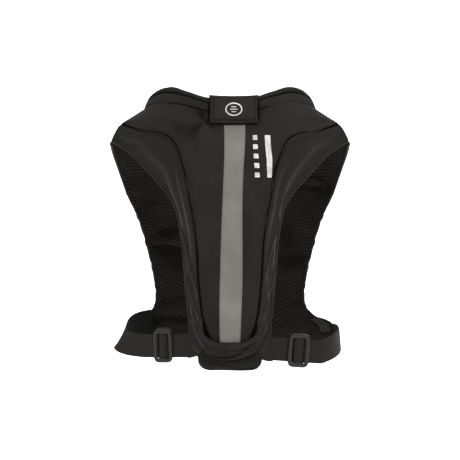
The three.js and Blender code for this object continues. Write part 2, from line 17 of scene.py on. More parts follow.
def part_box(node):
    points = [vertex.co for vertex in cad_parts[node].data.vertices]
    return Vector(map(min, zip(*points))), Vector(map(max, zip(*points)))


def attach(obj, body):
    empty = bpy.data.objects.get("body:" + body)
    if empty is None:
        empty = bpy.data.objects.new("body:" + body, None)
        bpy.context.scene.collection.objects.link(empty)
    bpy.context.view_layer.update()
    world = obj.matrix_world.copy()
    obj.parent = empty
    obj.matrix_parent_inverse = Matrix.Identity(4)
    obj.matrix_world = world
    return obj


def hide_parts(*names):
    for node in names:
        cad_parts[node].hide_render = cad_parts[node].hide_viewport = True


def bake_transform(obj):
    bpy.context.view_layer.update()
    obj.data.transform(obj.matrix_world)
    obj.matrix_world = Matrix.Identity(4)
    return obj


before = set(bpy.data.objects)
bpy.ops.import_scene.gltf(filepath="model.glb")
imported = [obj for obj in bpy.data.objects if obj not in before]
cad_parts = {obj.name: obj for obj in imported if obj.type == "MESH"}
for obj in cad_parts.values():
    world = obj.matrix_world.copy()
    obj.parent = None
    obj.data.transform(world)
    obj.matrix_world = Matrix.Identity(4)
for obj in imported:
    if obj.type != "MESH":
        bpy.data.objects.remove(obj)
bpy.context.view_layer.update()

MM = 0.001
TAU = 2 * math.pi
SEAM_GAP = 0.02 * MM  # points nearer than this are one point of a closed padded piece
STITCH_SHARE = 0.34  # half a stitch's visible length, as a share of the pitch
BLUNTNESS = 60  # how suddenly a cord closes at its ends
MESH_PITCH = 7.6 * MM
BINDING_HALF = (2.6 * MM, 3.9 * MM)  # half a bound edge's thickness and width
BINDING_SQUARE = 0.8
WEBBING_SQUARE = 0.28
LOG = logging.getLogger("vest")

Points = Sequence[Sequence[float]]
Surface = Callable[[np.ndarray, np.ndarray], np.ndarray]
Relief = Callable[[np.ndarray, np.ndarray, np.ndarray], np.ndarray]


class Side(Enum):
    """The wearer's left or right, as the sign of X."""

    LEFT = -1
    RIGHT = 1

    @property
    def word(self) -> str:
        """The side as it stands in node names."""
        return self.name.lower()


# ---------------------------------------------------------------- lines and surfaces


class Rail:
    """A smooth line through given points, read by a share from 0 to 1."""

    def __init__(self, points: Points) -> None:
        """Keeps the points.

        Args:
            points: Places along the line, in millimetres.
        """
        self.points = np.array(points, float) * MM

    def at(self, share: np.ndarray | float) -> np.ndarray:
        """Places along the line.

        Args:
            share: How far along, from 0 to 1.

        Returns:
            One row of X, Y, Z for each share.
        """
        p = self.points
        spans = len(p) - 1
        s = np.clip(np.atleast_1d(np.asarray(share, float)), 0, 1) * spans
        i = np.minimum(s.astype(int), spans - 1)
        t = (s - i)[:, None]
        padded = np.vstack([2 * p[0] - p[1], p, 2 * p[-1] - p[-2]])
        a, b, c, d = (padded[i + k] for k in range(4))
        gaps = [
            np.sqrt(np.maximum(np.linalg.norm(y - x, axis=1), 1e-9))[:, None]
            for x, y in ((a, b), (b, c), (c, d))
        ]
        start = ((b - a) / gaps[0] - (c - a) / (gaps[0] + gaps[1]) + (c - b) / gaps[1]) * gaps[1]
        end = ((c - b) / gaps[1] - (d - b) / (gaps[1] + gaps[2]) + (d - c) / gaps[2]) * gaps[1]
        t2, t3 = t * t, t * t * t
        weights = (2 * t3 - 3 * t2 + 1, t3 - 2 * t2 + t, 3 * t2 - 2 * t3, t3 - t2)
        return b * weights[0] + start * weights[1] + c * weights[2] + end * weights[3]

    def puckered(self, depth: float, seed: int) -> "Rail":
        """The same line with small sideways waves that die out at its ends.

        Args:
            depth: How far the waves reach, in metres.
            seed: Which waves.

        Returns:
            The new line, read by the same shares.
        """
        share = np.linspace(0, 1, 8 * (len(self.points) - 1) + 1)
        places = self.at(share)
        fade = np.minimum(smooth(share, 0.08, 0.2), 1 - smooth(share, 0.8, 0.95))
        places[:, 0] += depth * fade * ripples(places, (1.0, 1.0, 0.011), seed)
        return Rail(places / MM)


def mirrored(points: np.ndarray, sign: np.ndarray | float) -> np.ndarray:
    """Points with X multiplied by sign."""
    out = points.copy()
    out[:, 0] *= sign
    return out


def smooth(value: np.ndarray | float, low: float, high: float) -> np.ndarray:
    """A smooth step from 0 at low to 1 at high."""
    t = np.clip((np.asarray(value, float) - low) / (high - low), 0, 1)
    return t * t * (3 - 2 * t)


def bump(value: np.ndarray, centre: float, width: float) -> np.ndarray:
    """A bell of height 1 at centre."""
    return np.exp(-(((value - centre) / width) ** 2))


def arched(a: np.ndarray, m: np.ndarray, b: np.ndarray, t: np.ndarray) -> np.ndarray:
    """The curve from a through m to b, at share t."""
    t = t[:, None]
    return a * (1 - t) * (1 - 2 * t) + m * 4 * t * (1 - t) + b * t * (2 * t - 1)


def ripples(points: np.ndarray, size: Sequence[float], seed: int, waves: int = 7) -> np.ndarray:
    """Soft seeded unevenness, about -1 to 1.

    Args:
        points: Places in metres.
        size: Wavelength along X, Y and Z, in metres.
        seed: Picks the pattern.
        waves: How many waves are laid over each other.

    Returns:
        One height for each place.
    """
    chance = np.random.default_rng(seed)
    scaled = points / np.array(size)
    total = np.zeros(len(points))
    for _ in range(waves):
        way = chance.normal(size=3)
        way *= TAU * chance.uniform(0.5, 1.6) / np.linalg.norm(way)
        total += np.sin(scaled @ way + chance.uniform(0, TAU))
    return total / waves * 1.6


SPINE = Rail([
    (0, -30, -402), (0, -39, -350), (0, -44, -290), (0, -46, -212),
    (0, -43, -140), (0, -32, -85), (0, -12, -38), (0, -7, -3),
])
PRINCESS = Rail([
    (34, -26, -394), (46, -32, -350), (53, -36, -290), (57.5, -37, -212),
    (68, -33, -150), (78, -26, -98), (88, -17, -66), (102, -9, -47),
    (120, 3, -39), (150, 26, -32), (172, 46, -25), (190, 64, -18),
])
ARMHOLE = Rail([
    (56, -4, -404), (69, 0, -350), (75, 1, -290), (82, 3, -212),
    (92, 6, -165), (108, 11, -139), (128, 18, -116), (147, 28, -96),
    (163, 38, -78), (183, 51, -62), (199, 62, -53), (208, 72, -49),
])
NECK = Rail([(0, -7, -3), (34, -7, -1), (75, 0, 10), (114, 26, 15), (136, 45, 12), (150, 65, 6)])
INNER_SPINE = Rail([(0, 5, -400), (0, 7, -290), (0, 8, -200), (0, 8, -120), (0, 7, -60), (0, 3, -12)])
INNER_NECK = Rail([(0, 3, -12), (34, 4, -8), (75, 13, 2), (112, 34, 6), (132, 48, 4), (146, 66, -2)])
COLLAR_SEAM = Rail([
    (0, -8, -4), (34, -8, -2), (75, 0, 9), (114, 26, 14), (136, 45, 11),
    (150, 65, 5), (150, 92, -9), (143, 116, -30),
])
COLLAR_SPLIT = Rail([
    (0, -9, 12), (34, -9, 11), (72, -2, 24), (106, 23, 33), (130, 44, 30),
    (145, 66, 19), (146, 92, 3), (141, 116, -21),
])
COLLAR_TOP = Rail([
    (0, -7, 20), (34, -7, 20), (70, 0, 31), (100, 22, 41.5), (124, 44, 38.5),
    (139, 66, 28), (142, 92, 12), (139, 116, -14),
])
# from the shoulder ridge down the front: neck and zip edge, middle, armhole edge
FRONT_EDGE = Rail([
    (136, 123, -36), (118, 155, -88), (88, 176, -145), (50, 188, -200),
    (11.5, 194, -250), (11.5, 193, -300), (11.5, 190, -345), (11.5, 188, -376), (11.5, 186, -404),
])
FRONT_MIDDLE = Rail([
    (167, 141, -68), (150, 163, -112), (127, 176, -165), (100, 184, -222),
    (74, 190, -275), (74, 189, -318), (80, 184, -354), (88, 180, -384), (90, 177, -408),
])
FRONT_ARMHOLE = Rail([
    (196, 144, -99), (184, 157, -140), (163, 166, -187), (146, 172, -251),
    (135, 176, -306), (138, 175, -346), (160, 165, -366), (183, 149, -375), (184, 148, -410),
]).puckered(1.5 * MM, 5)
# over the shoulder, from the ridge to the front panel's second row
BRIDGE_NECK = Rail([(150, 65, 6), (150, 92, -9), (143, 118, -30), (132, 138, -56), (118, 155, -88)])
BRIDGE_CREST = Rail([(190, 64, -18), (185, 100, -38), (173, 131, -61), (161, 151, -88), (150, 163, -112)])
BRIDGE_EDGE = Rail([(208, 72, -49), (206, 103, -66), (200, 131, -89), (192, 149, -115), (184, 157, -140)])
RIDGE_SHARE = 0.9
HANG_LEAN = 6.5 * MM  # how far the stripe's top and the tab hang towards the wearer's right


def back_patch(middle: Rail, side: Rail, neck: Rail) -> Surface:
    """A back panel between a middle line, both side lines and the neck.

    Args:
        middle: From the tail to the neck.
        side: The wearer's right edge, from the tail to the shoulder ridge.
        neck: From the middle to the end of the ridge.

    Returns:
        A surface whose u runs from left to right and v from the tail to the neck.
    """

    def side_at(v: np.ndarray) -> np.ndarray:
        """The side line, carried on from the ridge to the neck."""
        low = side.at(v / RIDGE_SHARE)
        share = np.clip((v - RIDGE_SHARE) / (1 - RIDGE_SHARE), 0, 1)[:, None]
        return low * (1 - share) + neck.at(1.0) * share

    def crowned(a: np.ndarray, b: np.ndarray, t: np.ndarray) -> np.ndarray:
        """Places from one line to another, level at first and then rounding over."""
        weights = np.stack([t, t * t, t * t], 1)
        return a + (b - a) * weights

    def surface(u: np.ndarray, v: np.ndarray) -> np.ndarray:
        """The whole panel, blended from its four edges and mirrored."""
        signed = 2 * u - 1
        t = np.abs(signed)
        one = v[:, None]
        sides = crowned(middle.at(v), side_at(v), t)
        tail = crowned(middle.at(0.0), side.at(0.0), t)
        top = crowned(middle.at(1.0), neck.at(1.0), t)
        whole = sides + tail * (1 - one) + neck.at(t) * one - (tail * (1 - one) + top * one)
        return mirrored(whole, np.where(signed < 0, -1.0, 1.0))

    return surface


def strip(a: Rail, b: Rail, sign: float, swell: float = 0.0) -> Surface:
    """A panel between two rails of one side.

    Args:
        a: The rail at u = 0.
        b: The rail at u = 1.
        sign: The side's sign.
        swell: How far the middle stands out sideways, in metres.

    Returns:
        The surface.
    """

    def surface(u: np.ndarray, v: np.ndarray) -> np.ndarray:
        """The straight panel between the rails, with its swell."""
        one = u[:, None]
        points = a.at(v) * (1 - one) + b.at(v) * one
        points[:, 0] += swell * np.sin(math.pi * u)
        return mirrored(points, sign)

    return surface


def between(a: Rail, m: Rail, b: Rail, sign: float) -> Surface:
    """A panel that is curved across through three rails of one side."""
    return lambda u, v: mirrored(arched(a.at(v), m.at(v), b.at(v), u), sign)


# ---------------------------------------------------------------- mesh work


def normals_of(surface: Surface, u: np.ndarray, v: np.ndarray) -> np.ndarray:
    """Unit normals of a surface, by small steps."""
    step = 1e-3
    u0, v0 = np.minimum(u, 1 - step), np.minimum(v, 1 - step)
    here = surface(u0, v0)
    across = surface(u0 + step, v0) - here
    along = surface(u0, v0 + step) - here
    n = np.cross(across, along)
    return n / np.maximum(np.linalg.norm(n, axis=1), 1e-12)[:, None]


def new_object(name: str, work: bmesh.types.BMesh) -> bpy.types.Object:
    """Turns a bmesh into a smooth-shaded object at the origin."""
    mesh = bpy.data.meshes.new(name)
    work.to_mesh(mesh)
    work.free()
    mesh.shade_smooth()
    obj = bpy.data.objects.new(name, mesh)
    bpy.context.scene.collection.objects.link(obj)
    return obj


def always(x: float, y: float, z: float) -> Callable[[np.ndarray], np.ndarray]:
    """The same direction at every share of a line."""
    return lambda v: np.tile([x, y, z], (len(v), 1)).astype(float)


def close_seams(work: bmesh.types.BMesh, distance: float) -> None:
    """Joins points that meet and turns all faces outward."""
    bmesh.ops.remove_doubles(work, verts=work.verts[:], dist=distance)
    bmesh.ops.recalc_face_normals(work, faces=work.faces[:])


def close_object(obj: bpy.types.Object, distance: float) -> None:
    """Closes the seams of a finished piece."""
    work = bmesh.new()
    work.from_mesh(obj.data)
    close_seams(work, distance)
    work.to_mesh(obj.data)
    work.free()


def add_block(work: bmesh.types.BMesh, place: Matrix, radius: float, segments: int) -> None:
    """Adds a block with rounded edges: a unit cube, placed and sized by a matrix."""
    made = bmesh.ops.create_cube(work, size=1, matrix=place)
    edges = list({edge for vert in made["verts"] for edge in vert.link_edges})
    bmesh.ops.bevel(
        work, geom=edges, offset=radius, offset_type="OFFSET", segments=segments, profile=0.5,
        affect="EDGES", material=-1,
    )


def arc_lengths(grid: np.ndarray, axis: int, middle: bool) -> np.ndarray:
    """Running lengths over a grid of points, along one of its axes."""
    steps = np.linalg.norm(np.diff(grid, axis=axis), axis=2)
    pad = [(1, 0) if k == axis else (0, 0) for k in range(2)]
    total = np.cumsum(np.pad(steps, pad), axis=axis)
    if middle:
        total = total - np.take(total, [total.shape[axis] // 2], axis=axis)
    return total


@dataclass(frozen=True)
class FlatCut:
    """What a cloth piece was before it was sewn: its width, length and area, in metres."""

    width: float
    length: float
    area: float

    def declare(self, obj: bpy.types.Object, rests_on: Sequence[str]) -> None:
        """Logs the piece's flat cut as a sheet, its area held to its width times its length at most."""
        area = min(self.area, self.width * self.length)
        LOG.info(
            "sheet %s cut %.0f x %.0f mm, %.0f cm2", obj.name, self.width / MM, self.length / MM, area * 1e4
        )


CUTS: dict[str, FlatCut] = {}


def cloth(
    name: str,
    surface: Surface,
    cells: tuple[int, int],
    facing: Sequence[float],
    thickness: float = 1.6 * MM,
    relief: Relief | None = None,
    offset: float = 0.0,
) -> bpy.types.Object:
    """A piece of cloth on a surface, with its own thickness and flat pattern coordinates.

    Args:
        name: The piece's name.
        surface: Where its outer face lies.
        cells: Cells across and along.
        facing: Roughly the way that its outer face looks.
        thickness: Its thickness, which goes inward.
        relief: Height added along the outer normal, in metres.
        offset: A constant height, in metres.

    Returns:
        The piece, with a "cut" attribute: flat pattern coordinates and relief, in metres.
    """
    across, along = cells
    work = bmesh.new()
    bmesh.ops.create_grid(work, x_segments=across, y_segments=along, size=0.5)
    work.verts.ensure_lookup_table()
    flat = np.array([vert.co[:] for vert in work.verts])
    u, v = flat[:, 0] + 0.5, flat[:, 1] + 0.5
    points = surface(u, v)
    normals = normals_of(surface, u, v)
    turned = float((normals @ np.array(facing)).sum()) < 0
    normals = -normals if turned else normals
    height = np.full(len(points), offset) + (relief(u, v, points) if relief else 0)
    shaped = points + normals * height[:, None]
    for vert, place in zip(work.verts, shaped):
        vert.co = place
    if turned:
        bmesh.ops.reverse_faces(work, faces=work.faces[:])
    column, row = np.rint(u * across).astype(int), np.rint(v * along).astype(int)
    grid = np.zeros((along + 1, across + 1, 3))
    grid[row, column] = points
    cut = np.zeros((len(points), 3))
    cut[:, 0] = arc_lengths(grid, 1, True)[row, column]
    cut[:, 1] = arc_lengths(grid, 0, False)[row, column]
    # the relief height, which the materials read to paint shade in hollows and highlights on crests
    cut[:, 2] = height - offset
    obj = new_object(name, work)
    obj.data.attributes.new("cut", "FLOAT_VECTOR", "POINT").data.foreach_set("vector", cut.ravel())
    rows = np.linalg.norm(np.diff(grid, axis=1), axis=2)
    columns = np.linalg.norm(np.diff(grid, axis=0), axis=2)
    corners = np.cross(grid[1:, 1:] - grid[:-1, :-1], grid[1:, :-1] - grid[:-1, 1:])
    CUTS[name] = FlatCut(
        float(rows.sum(1).max()), float(columns.sum(0).max()),
        float(np.linalg.norm(corners, axis=2).sum() / 2),
    )
    if thickness:
        solid = obj.modifiers.new("thickness", "SOLIDIFY")
        solid.thickness = thickness
        solid.offset = -1
    return obj


def swept(
    name: str,
    line: Callable[[np.ndarray], np.ndarray],
    half: tuple[float, float],
    across: Callable[[np.ndarray], np.ndarray],
    cells: tuple[int, int],
    squareness: float = 1.0,
) -> bpy.types.Object:
    """A closed cord-like strip of an oval section along a line.

    Args:
        name: The piece's name.
        line: Places along it, for shares from 0 to 1.
        half: Half its width along across, and half its thickness.
        across: The direction of its width, for the same shares.
        cells: Cells round and along.
        squareness: Below 1 the oval turns into a rounded box.

    Returns:
        The piece, with a "cut" attribute as cloth has.
    """
    around, along = cells
    work = bmesh.new()
    bmesh.ops.create_grid(work, x_segments=around, y_segments=along, size=0.5)
    work.verts.ensure_lookup_table()
    flat = np.array([vert.co[:] for vert in work.verts])
    u, v = flat[:, 0] + 0.5, flat[:, 1] + 0.5
    centre = line(v)
    step = 1e-3
    ahead = line(np.minimum(v + step, 1)) - line(np.maximum(v - step, 0))
    ahead /= np.linalg.norm(ahead, axis=1)[:, None]
    wide = across(v)
    wide = wide - ahead * (wide * ahead).sum(1)[:, None]
    wide /= np.linalg.norm(wide, axis=1)[:, None]
    deep = np.cross(ahead, wide)
    c, s = np.cos(TAU * u), np.sin(TAU * u)
    c, s = np.sign(c) * np.abs(c) ** squareness, np.sign(s) * np.abs(s) ** squareness
    closing = np.sqrt(np.clip(1 - np.abs(2 * v - 1) ** BLUNTNESS, 0, 1))[:, None]
    points = centre + (
        wide * (half[0] * c)[:, None] + deep * (half[1] * s)[:, None]
    ) * np.maximum(closing, 0.02)
    for vert, place in zip(work.verts, points):
        vert.co = place
    run = np.concatenate(
        [[0], np.cumsum(np.linalg.norm(np.diff(line(np.linspace(0, 1, along + 1)), axis=0), axis=1))]
    )
    girth = work.verts.layers.float_vector.new("cut")
    for vert, share, place in zip(work.verts, u, v):
        vert[girth] = (half[0] * 2 * abs(2 * share - 1) - half[0], run[round(place * along)], 0)
    bmesh.ops.remove_doubles(work, verts=work.verts[:], dist=0.01 * MM)
    bmesh.ops.holes_fill(work, edges=[edge for edge in work.edges if edge.is_boundary], sides=0)
    bmesh.ops.recalc_face_normals(work, faces=work.faces[:])
    return new_object(name, work)


def stitches(
    name: str, line: np.ndarray, normals: np.ndarray, pitch: float = 3.2 * MM, thread: float = 0.35 * MM
) -> bpy.types.Object:
    """A row of lockstitches on cloth.

    Args:
        name: The piece's name.
        line: Places that the seam follows.
        normals: The cloth's outward normal at each place.
        pitch: Length from stitch to stitch.
        thread: Half the thread's thickness.

    Returns:
        The piece, one small faceted bead for each stitch.
    """
    gaps = np.linalg.norm(np.diff(line, axis=0), axis=1)
    run = np.concatenate([[0], np.cumsum(gaps)])
    work = bmesh.new()
    for middle in np.arange(pitch / 2, run[-1], pitch):
        ends = [
            np.array([np.interp(middle + d * pitch * STITCH_SHARE, run, line[:, k]) for k in range(3)])
            for d in (-1, 1)
        ]
        up = Vector([float(np.interp(middle, run, normals[:, k])) for k in range(3)]).normalized()
        ahead = Vector(ends[1] - ends[0])
        if ahead.length < 1e-6:
            continue
        along = ahead.normalized()
        side = along.cross(up).normalized()
        turn = Matrix((side, along, side.cross(along))).transposed().to_4x4()
        turn.translation = Vector((ends[0] + ends[1]) / 2) + up * thread * 0.7
        size = Matrix.Diagonal((thread, ahead.length / 2 + thread, thread, 1))
        bmesh.ops.create_icosphere(work, subdivisions=1, radius=1, matrix=turn @ size)
    return new_object(name, work)


def seam_row(
    name: str, surface: Surface, facing: Sequence[float], across: Callable[[np.ndarray], np.ndarray],
    span: tuple[float, float], relief: Relief | None = None, lift: float = 0.0,
) -> bpy.types.Object:
    """Stitches along a line of constant shape on a surface.

    Args:
        name: The piece's name.
        surface: The cloth's surface.
        facing: Roughly the way that the cloth faces.
        across: The u of the line, for each v.
        span: The v where it starts and ends.
        relief: The cloth's own relief.
        lift: A constant height above the surface.

    Returns:
        The piece.
    """
    v = np.linspace(*span, 260)
    u = across(v)
    points, normals = surface(u, v), normals_of(surface, u, v)
    if float((normals @ np.array(facing)).sum()) < 0:
        normals = -normals
    height = np.full(len(points), lift) + (relief(u, v, points) if relief else 0)
    return stitches(name, points + normals * height[:, None], normals)


def rounded_block(
    name: str, low: Sequence[float], high: Sequence[float], radius: float, segments: int = 3
) -> bpy.types.Object:
    """A block with rounded edges, from its lowest to its highest corner, in metres."""
    work = bmesh.new()
    size = [b - a for a, b in zip(low, high)]
    place = Matrix.Translation([(a + b) / 2 for a, b in zip(low, high)]) @ Matrix.Diagonal((*size, 1))
    bmesh.ops.create_cube(work, size=1, matrix=place)
    bmesh.ops.bevel(
        work, geom=work.edges[:], offset=radius, offset_type="OFFSET", segments=segments, profile=0.5,
        affect="EDGES", material=-1, clamp_overlap=True,
    )
    return new_object(name, work)


# ---------------------------------------------------------------- shader effects


class Graph:
    """A node tree that is being written."""

    def __init__(self, tree: bpy.types.NodeTree) -> None:
        """Keeps the tree."""
        self.tree = tree

    def add(
        self, kind: str, settings: dict[str, object] | None = None, **sockets: object
    ) -> bpy.types.Node:
        """Adds a node.

        Args:
            kind: The node's type.
            settings: Its own properties.
            **sockets: A value or an output for each input, by its name with _ for spaces, or by
                _0, _1 for its place.

        Returns:
            The node.
        """
        node = self.tree.nodes.new(kind)
        for key, value in (settings or {}).items():
            setattr(node, key, value)
        for key, value in sockets.items():
            socket = node.inputs[int(key[1:])] if key[1:].isdigit() else node.inputs[key.replace("_", " ")]
            self.feed(value, socket)
        return node

    def feed(self, value: object, socket: bpy.types.NodeSocket) -> None:
        """Links an output to an input, or sets the input to a plain value."""
        if isinstance(value, bpy.types.NodeSocket):
            self.tree.links.new(value, socket)
        else:
            socket.default_value = value

    def math(self, operation: str, a: object, b: object = 0.0) -> bpy.types.NodeSocket:
        """The result of a math node."""
        return self.add("ShaderNodeMath", {"operation": operation}, _0=a, _1=b).outputs[0]

    def mix(self, share: object, a: object, b: object) -> bpy.types.NodeSocket:
        """Two colours mixed."""
        node = self.add("ShaderNodeMix", {"data_type": "RGBA"}, _0=share)
        self.feed(a, node.inputs[6])
        self.feed(b, node.inputs[7])
        return node.outputs[2]

    def ramp(self, value: object, low: float, high: float) -> bpy.types.NodeSocket:
        """A value stretched from low..high to 0..1."""
        return self.add(
            "ShaderNodeMapRange", {"interpolation_type": "SMOOTHSTEP"}, Value=value, From_Min=low,
            From_Max=high,
        ).outputs[0]


def group(
    name: str, inputs: dict[str, float | None], outputs: dict[str, str]
) -> tuple[bpy.types.NodeTree, Graph, bpy.types.Node, bpy.types.Node]:
    """Starts a shader effect that several materials share.

    Args:
        name: The group's name.
        inputs: Each number input and its usual value; None makes a vector input.
        outputs: Each output and its socket type.

    Returns:
        The tree, its graph, and its input and output nodes.
    """
    tree = bpy.data.node_groups.new(name, "ShaderNodeTree")
    for key, value in inputs.items():
        kind = "NodeSocketVector" if value is None else "NodeSocketFloat"
        socket = tree.interface.new_socket(key, in_out="INPUT", socket_type=kind)
        if value is not None:
            socket.default_value = value
    for key, kind in outputs.items():
        tree.interface.new_socket(key, in_out="OUTPUT", socket_type=kind)
    return tree, Graph(tree), tree.nodes.new("NodeGroupInput"), tree.nodes.new("NodeGroupOutput")


def weave_group() -> bpy.types.NodeTree:
    """Plain weave with thicker yarns in a grid: outputs Height and Thick."""
    tree, graph, inner, out = group(
        "woven_yarns", {"Vector": None, "Yarn": 0.5 * MM, "Grid": 5 * MM},
        {"Height": "NodeSocketFloat", "Thick": "NodeSocketFloat"},
    )
    axes = graph.add("ShaderNodeSeparateXYZ", Vector=inner.outputs["Vector"])
    waves = []
    for index in range(2):
        turns = graph.math("DIVIDE", axes.outputs[index], inner.outputs["Yarn"])
        waves.append(graph.math("SINE", graph.math("MULTIPLY", turns, TAU)))
    plain = graph.math("MULTIPLY", waves[0], waves[1])
    thick = []
    for index in range(2):
        place = graph.math(
            "PINGPONG", axes.outputs[index], graph.math("MULTIPLY", inner.outputs["Grid"], 0.5)
        )
        share = graph.math("DIVIDE", place, inner.outputs["Grid"])
        thick.append(graph.math("SUBTRACT", 1.0, graph.ramp(share, 0.0, 0.09)))
    yarns = graph.math("MAXIMUM", thick[0], thick[1])
    graph.tree.links.new(graph.math("ADD", graph.math("MULTIPLY", plain, 0.5), yarns), out.inputs["Height"])
    graph.tree.links.new(yarns, out.inputs["Thick"])
    return tree


def lint_group() -> bpy.types.NodeTree:
    """Cloudy shade and fine lint over cloth: outputs Shade and Lint."""
    tree, graph, inner, out = group(
        "cloth_lint", {"Vector": None, "Cloud": 14.0, "Speck": 420.0},
        {"Shade": "NodeSocketFloat", "Lint": "NodeSocketFloat"},
    )
    cloud = graph.add(
        "ShaderNodeTexNoise", Vector=inner.outputs["Vector"], Scale=inner.outputs["Cloud"], Detail=4.0
    )
    speck = graph.add(
        "ShaderNodeTexNoise", Vector=inner.outputs["Vector"], Scale=inner.outputs["Speck"], Detail=2.0
    )
    graph.tree.links.new(cloud.outputs[0], out.inputs["Shade"])
    graph.tree.links.new(graph.ramp(speck.outputs[0], 0.62, 0.8), out.inputs["Lint"])
    return tree


def net_group() -> bpy.types.NodeTree:
    """Staggered open cells of a spacer mesh: outputs Hole, 1 in the middle of a cell."""
    tree, graph, inner, out = group(
        "mesh_cells", {"Vector": None, "Pitch": 6.4 * MM}, {"Hole": "NodeSocketFloat"}
    )
    axes = graph.add("ShaderNodeSeparateXYZ", Vector=inner.outputs["Vector"])
    shares = [graph.math("DIVIDE", axes.outputs[index], inner.outputs["Pitch"]) for index in range(2)]
    diagonal = [graph.math("ADD", *shares), graph.math("SUBTRACT", *shares)]
    waves = [
        graph.math("ABSOLUTE", graph.math("SINE", graph.math("MULTIPLY", share, math.pi)))
        for share in diagonal
    ]
    graph.tree.links.new(graph.math("MULTIPLY", waves[0], waves[1]), out.inputs["Hole"])
    return tree


GROUPS: dict[str, bpy.types.NodeTree] = {}


def effect(graph: Graph, name: str, **sockets: object) -> bpy.types.Node:
    """Places a shared effect in a material."""
    node = graph.tree.nodes.new("ShaderNodeGroup")
    node.node_tree = GROUPS[name]
    for key, value in sockets.items():
        graph.feed(value, node.inputs[key])
    return node


def linear(red: int, green: int, blue: int) -> tuple[float, float, float, float]:
    """A screen colour, 0 to 255, as linear light."""
    parts = [c / 255 for c in (red, green, blue)]
    return (*[c / 12.92 if c <= 0.04045 else ((c + 0.055) / 1.055) ** 2.4 for c in parts], 1.0)


def scaled(colour: Sequence[float], factor: float) -> tuple[float, float, float, float]:
    """A colour made lighter or darker."""
    return (*[min(1.0, c * factor) for c in colour[:3]], 1.0)


# ---------------------------------------------------------------- finishes


@dataclass(frozen=True)
class Finish:
    """What every finish has: a name, a colour and how rough it is."""

    name: str
    colour: tuple[float, float, float, float]
    roughness: float = 0.8
    sheen: float = 0.0
    gloss: float = 0.25

    def start(self) -> tuple[bpy.types.Material, Graph, bpy.types.Node]:
        """Makes the material with its shader and its uniform numbers."""
        material = bpy.data.materials.new(self.name)
        material.use_nodes = True
        graph = Graph(material.node_tree)
        shader = material.node_tree.nodes["Principled BSDF"]
        shader.inputs["Roughness"].default_value = self.roughness
        shader.inputs["Sheen Weight"].default_value = self.sheen
        shader.inputs["Sheen Roughness"].default_value = 0.5
        shader.inputs["Specular IOR Level"].default_value = self.gloss
        shader.inputs["Base Color"].default_value = self.colour
        return material, graph, shader

    def bump(
        self, graph: Graph, shader: bpy.types.Node, height: object, depth: float, strength: float = 1.0
    ) -> None:
        """Feeds a height to the shader's normal."""
        node = graph.add("ShaderNodeBump", Height=height, Distance=depth, Strength=strength)
        graph.tree.links.new(node.outputs[0], shader.inputs["Normal"])

    def cut(self, graph: Graph) -> bpy.types.NodeSocket:
        """The piece's flat pattern coordinates."""
        return graph.add("ShaderNodeAttribute", {"attribute_name": "cut"}).outputs["Vector"]

    def hollowed(
        self, graph: Graph, colour: bpy.types.NodeSocket, depth: float = 2.0 * MM, crest: float = 1.4
    ) -> bpy.types.NodeSocket:
        """A colour with painted highlights on crests and painted shade in folds and dimples.

        Args:
            graph: The material's graph.
            colour: The colour on level cloth.
            depth: How deep a hollow is where the painted shade is darkest, in metres.
            crest: How much lighter the painted highlight makes the highest crests.

        Returns:
            The varied colour.
        """
        height = graph.add("ShaderNodeSeparateXYZ", Vector=self.cut(graph)).outputs[2]
        # painted highlight: the colour lightens on crests, by their height alone
        rubbed = graph.math("MULTIPLY", graph.ramp(height, 0.5 * MM, 3.5 * MM), 0.5 if crest > 1 else 0.0)
        raised = graph.mix(rubbed, colour, scaled(self.colour, crest))
        # painted shade: the colour darkens in hollows, by their depth alone
        return graph.mix(graph.ramp(height, -depth, -0.5 * MM), scaled(self.colour, 0.22), raised)

    def toned(
        self, graph: Graph, value: object, span: tuple[float, float], dark: float, light: float
    ) -> bpy.types.NodeSocket:
        """The colour from dark to light, as a value goes over its span."""
        return graph.mix(graph.ramp(value, *span), scaled(self.colour, dark), scaled(self.colour, light))

    def rubbed(
        self, graph: Graph, amount: object, share: float, colour: object, light: float
    ) -> bpy.types.NodeSocket:
        """A colour that goes towards a lighter or darker one where an amount is high."""
        return graph.mix(graph.math("MULTIPLY", amount, share), colour, scaled(self.colour, light))

    def roughen(
        self, graph: Graph, shader: bpy.types.Node, value: object, swing: float, below: float
    ) -> None:
        """Lets the roughness follow a value, from a little below its usual number."""
        rough = graph.math("MULTIPLY_ADD", value, swing)
        rough.node.inputs[2].default_value = self.roughness - below
        graph.feed(rough, shader.inputs["Roughness"])

    def place(self, graph: Graph) -> bpy.types.NodeSocket:
        """Object coordinates."""
        return graph.add("ShaderNodeTexCoord").outputs["Object"]

    def build(self) -> bpy.types.Material:
        """Makes the material."""
        raise NotImplementedError


@dataclass(frozen=True)
class Woven(Finish):
    """Ripstop or jersey: woven yarns, a grid of thicker ones, cloudy shade and lint, with painted shade in
    hollows and painted highlights on crests.
    """

    yarn: float = 0.55 * MM
    grid: float = 5.2 * MM
    relief: float = 0.12 * MM
    grid_light: float = 1.25
    cloud: float = 0.26

    def build(self) -> bpy.types.Material:
        """Makes the material."""
        material, graph, shader = self.start()
        cut = self.cut(graph)
        yarns = effect(graph, "woven_yarns", Vector=cut, Yarn=self.yarn, Grid=self.grid)
        lint = effect(graph, "cloth_lint", Vector=self.place(graph))
        shade = self.toned(graph, lint.outputs["Shade"], (0.3, 0.7), 1 - self.cloud, 1 + self.cloud)
        raised = self.rubbed(graph, yarns.outputs["Thick"], 0.5, shade, self.grid_light)
        dusty = self.rubbed(graph, lint.outputs["Lint"], 0.35, raised, 3.0)
        # painted shade in hollows and painted highlights on crests, from the relief height
        graph.tree.links.new(self.hollowed(graph, dusty), shader.inputs["Base Color"])
        self.bump(graph, shader, yarns.outputs["Height"], self.relief)
        self.roughen(graph, shader, lint.outputs["Shade"], 0.2, 0.1)
        return material


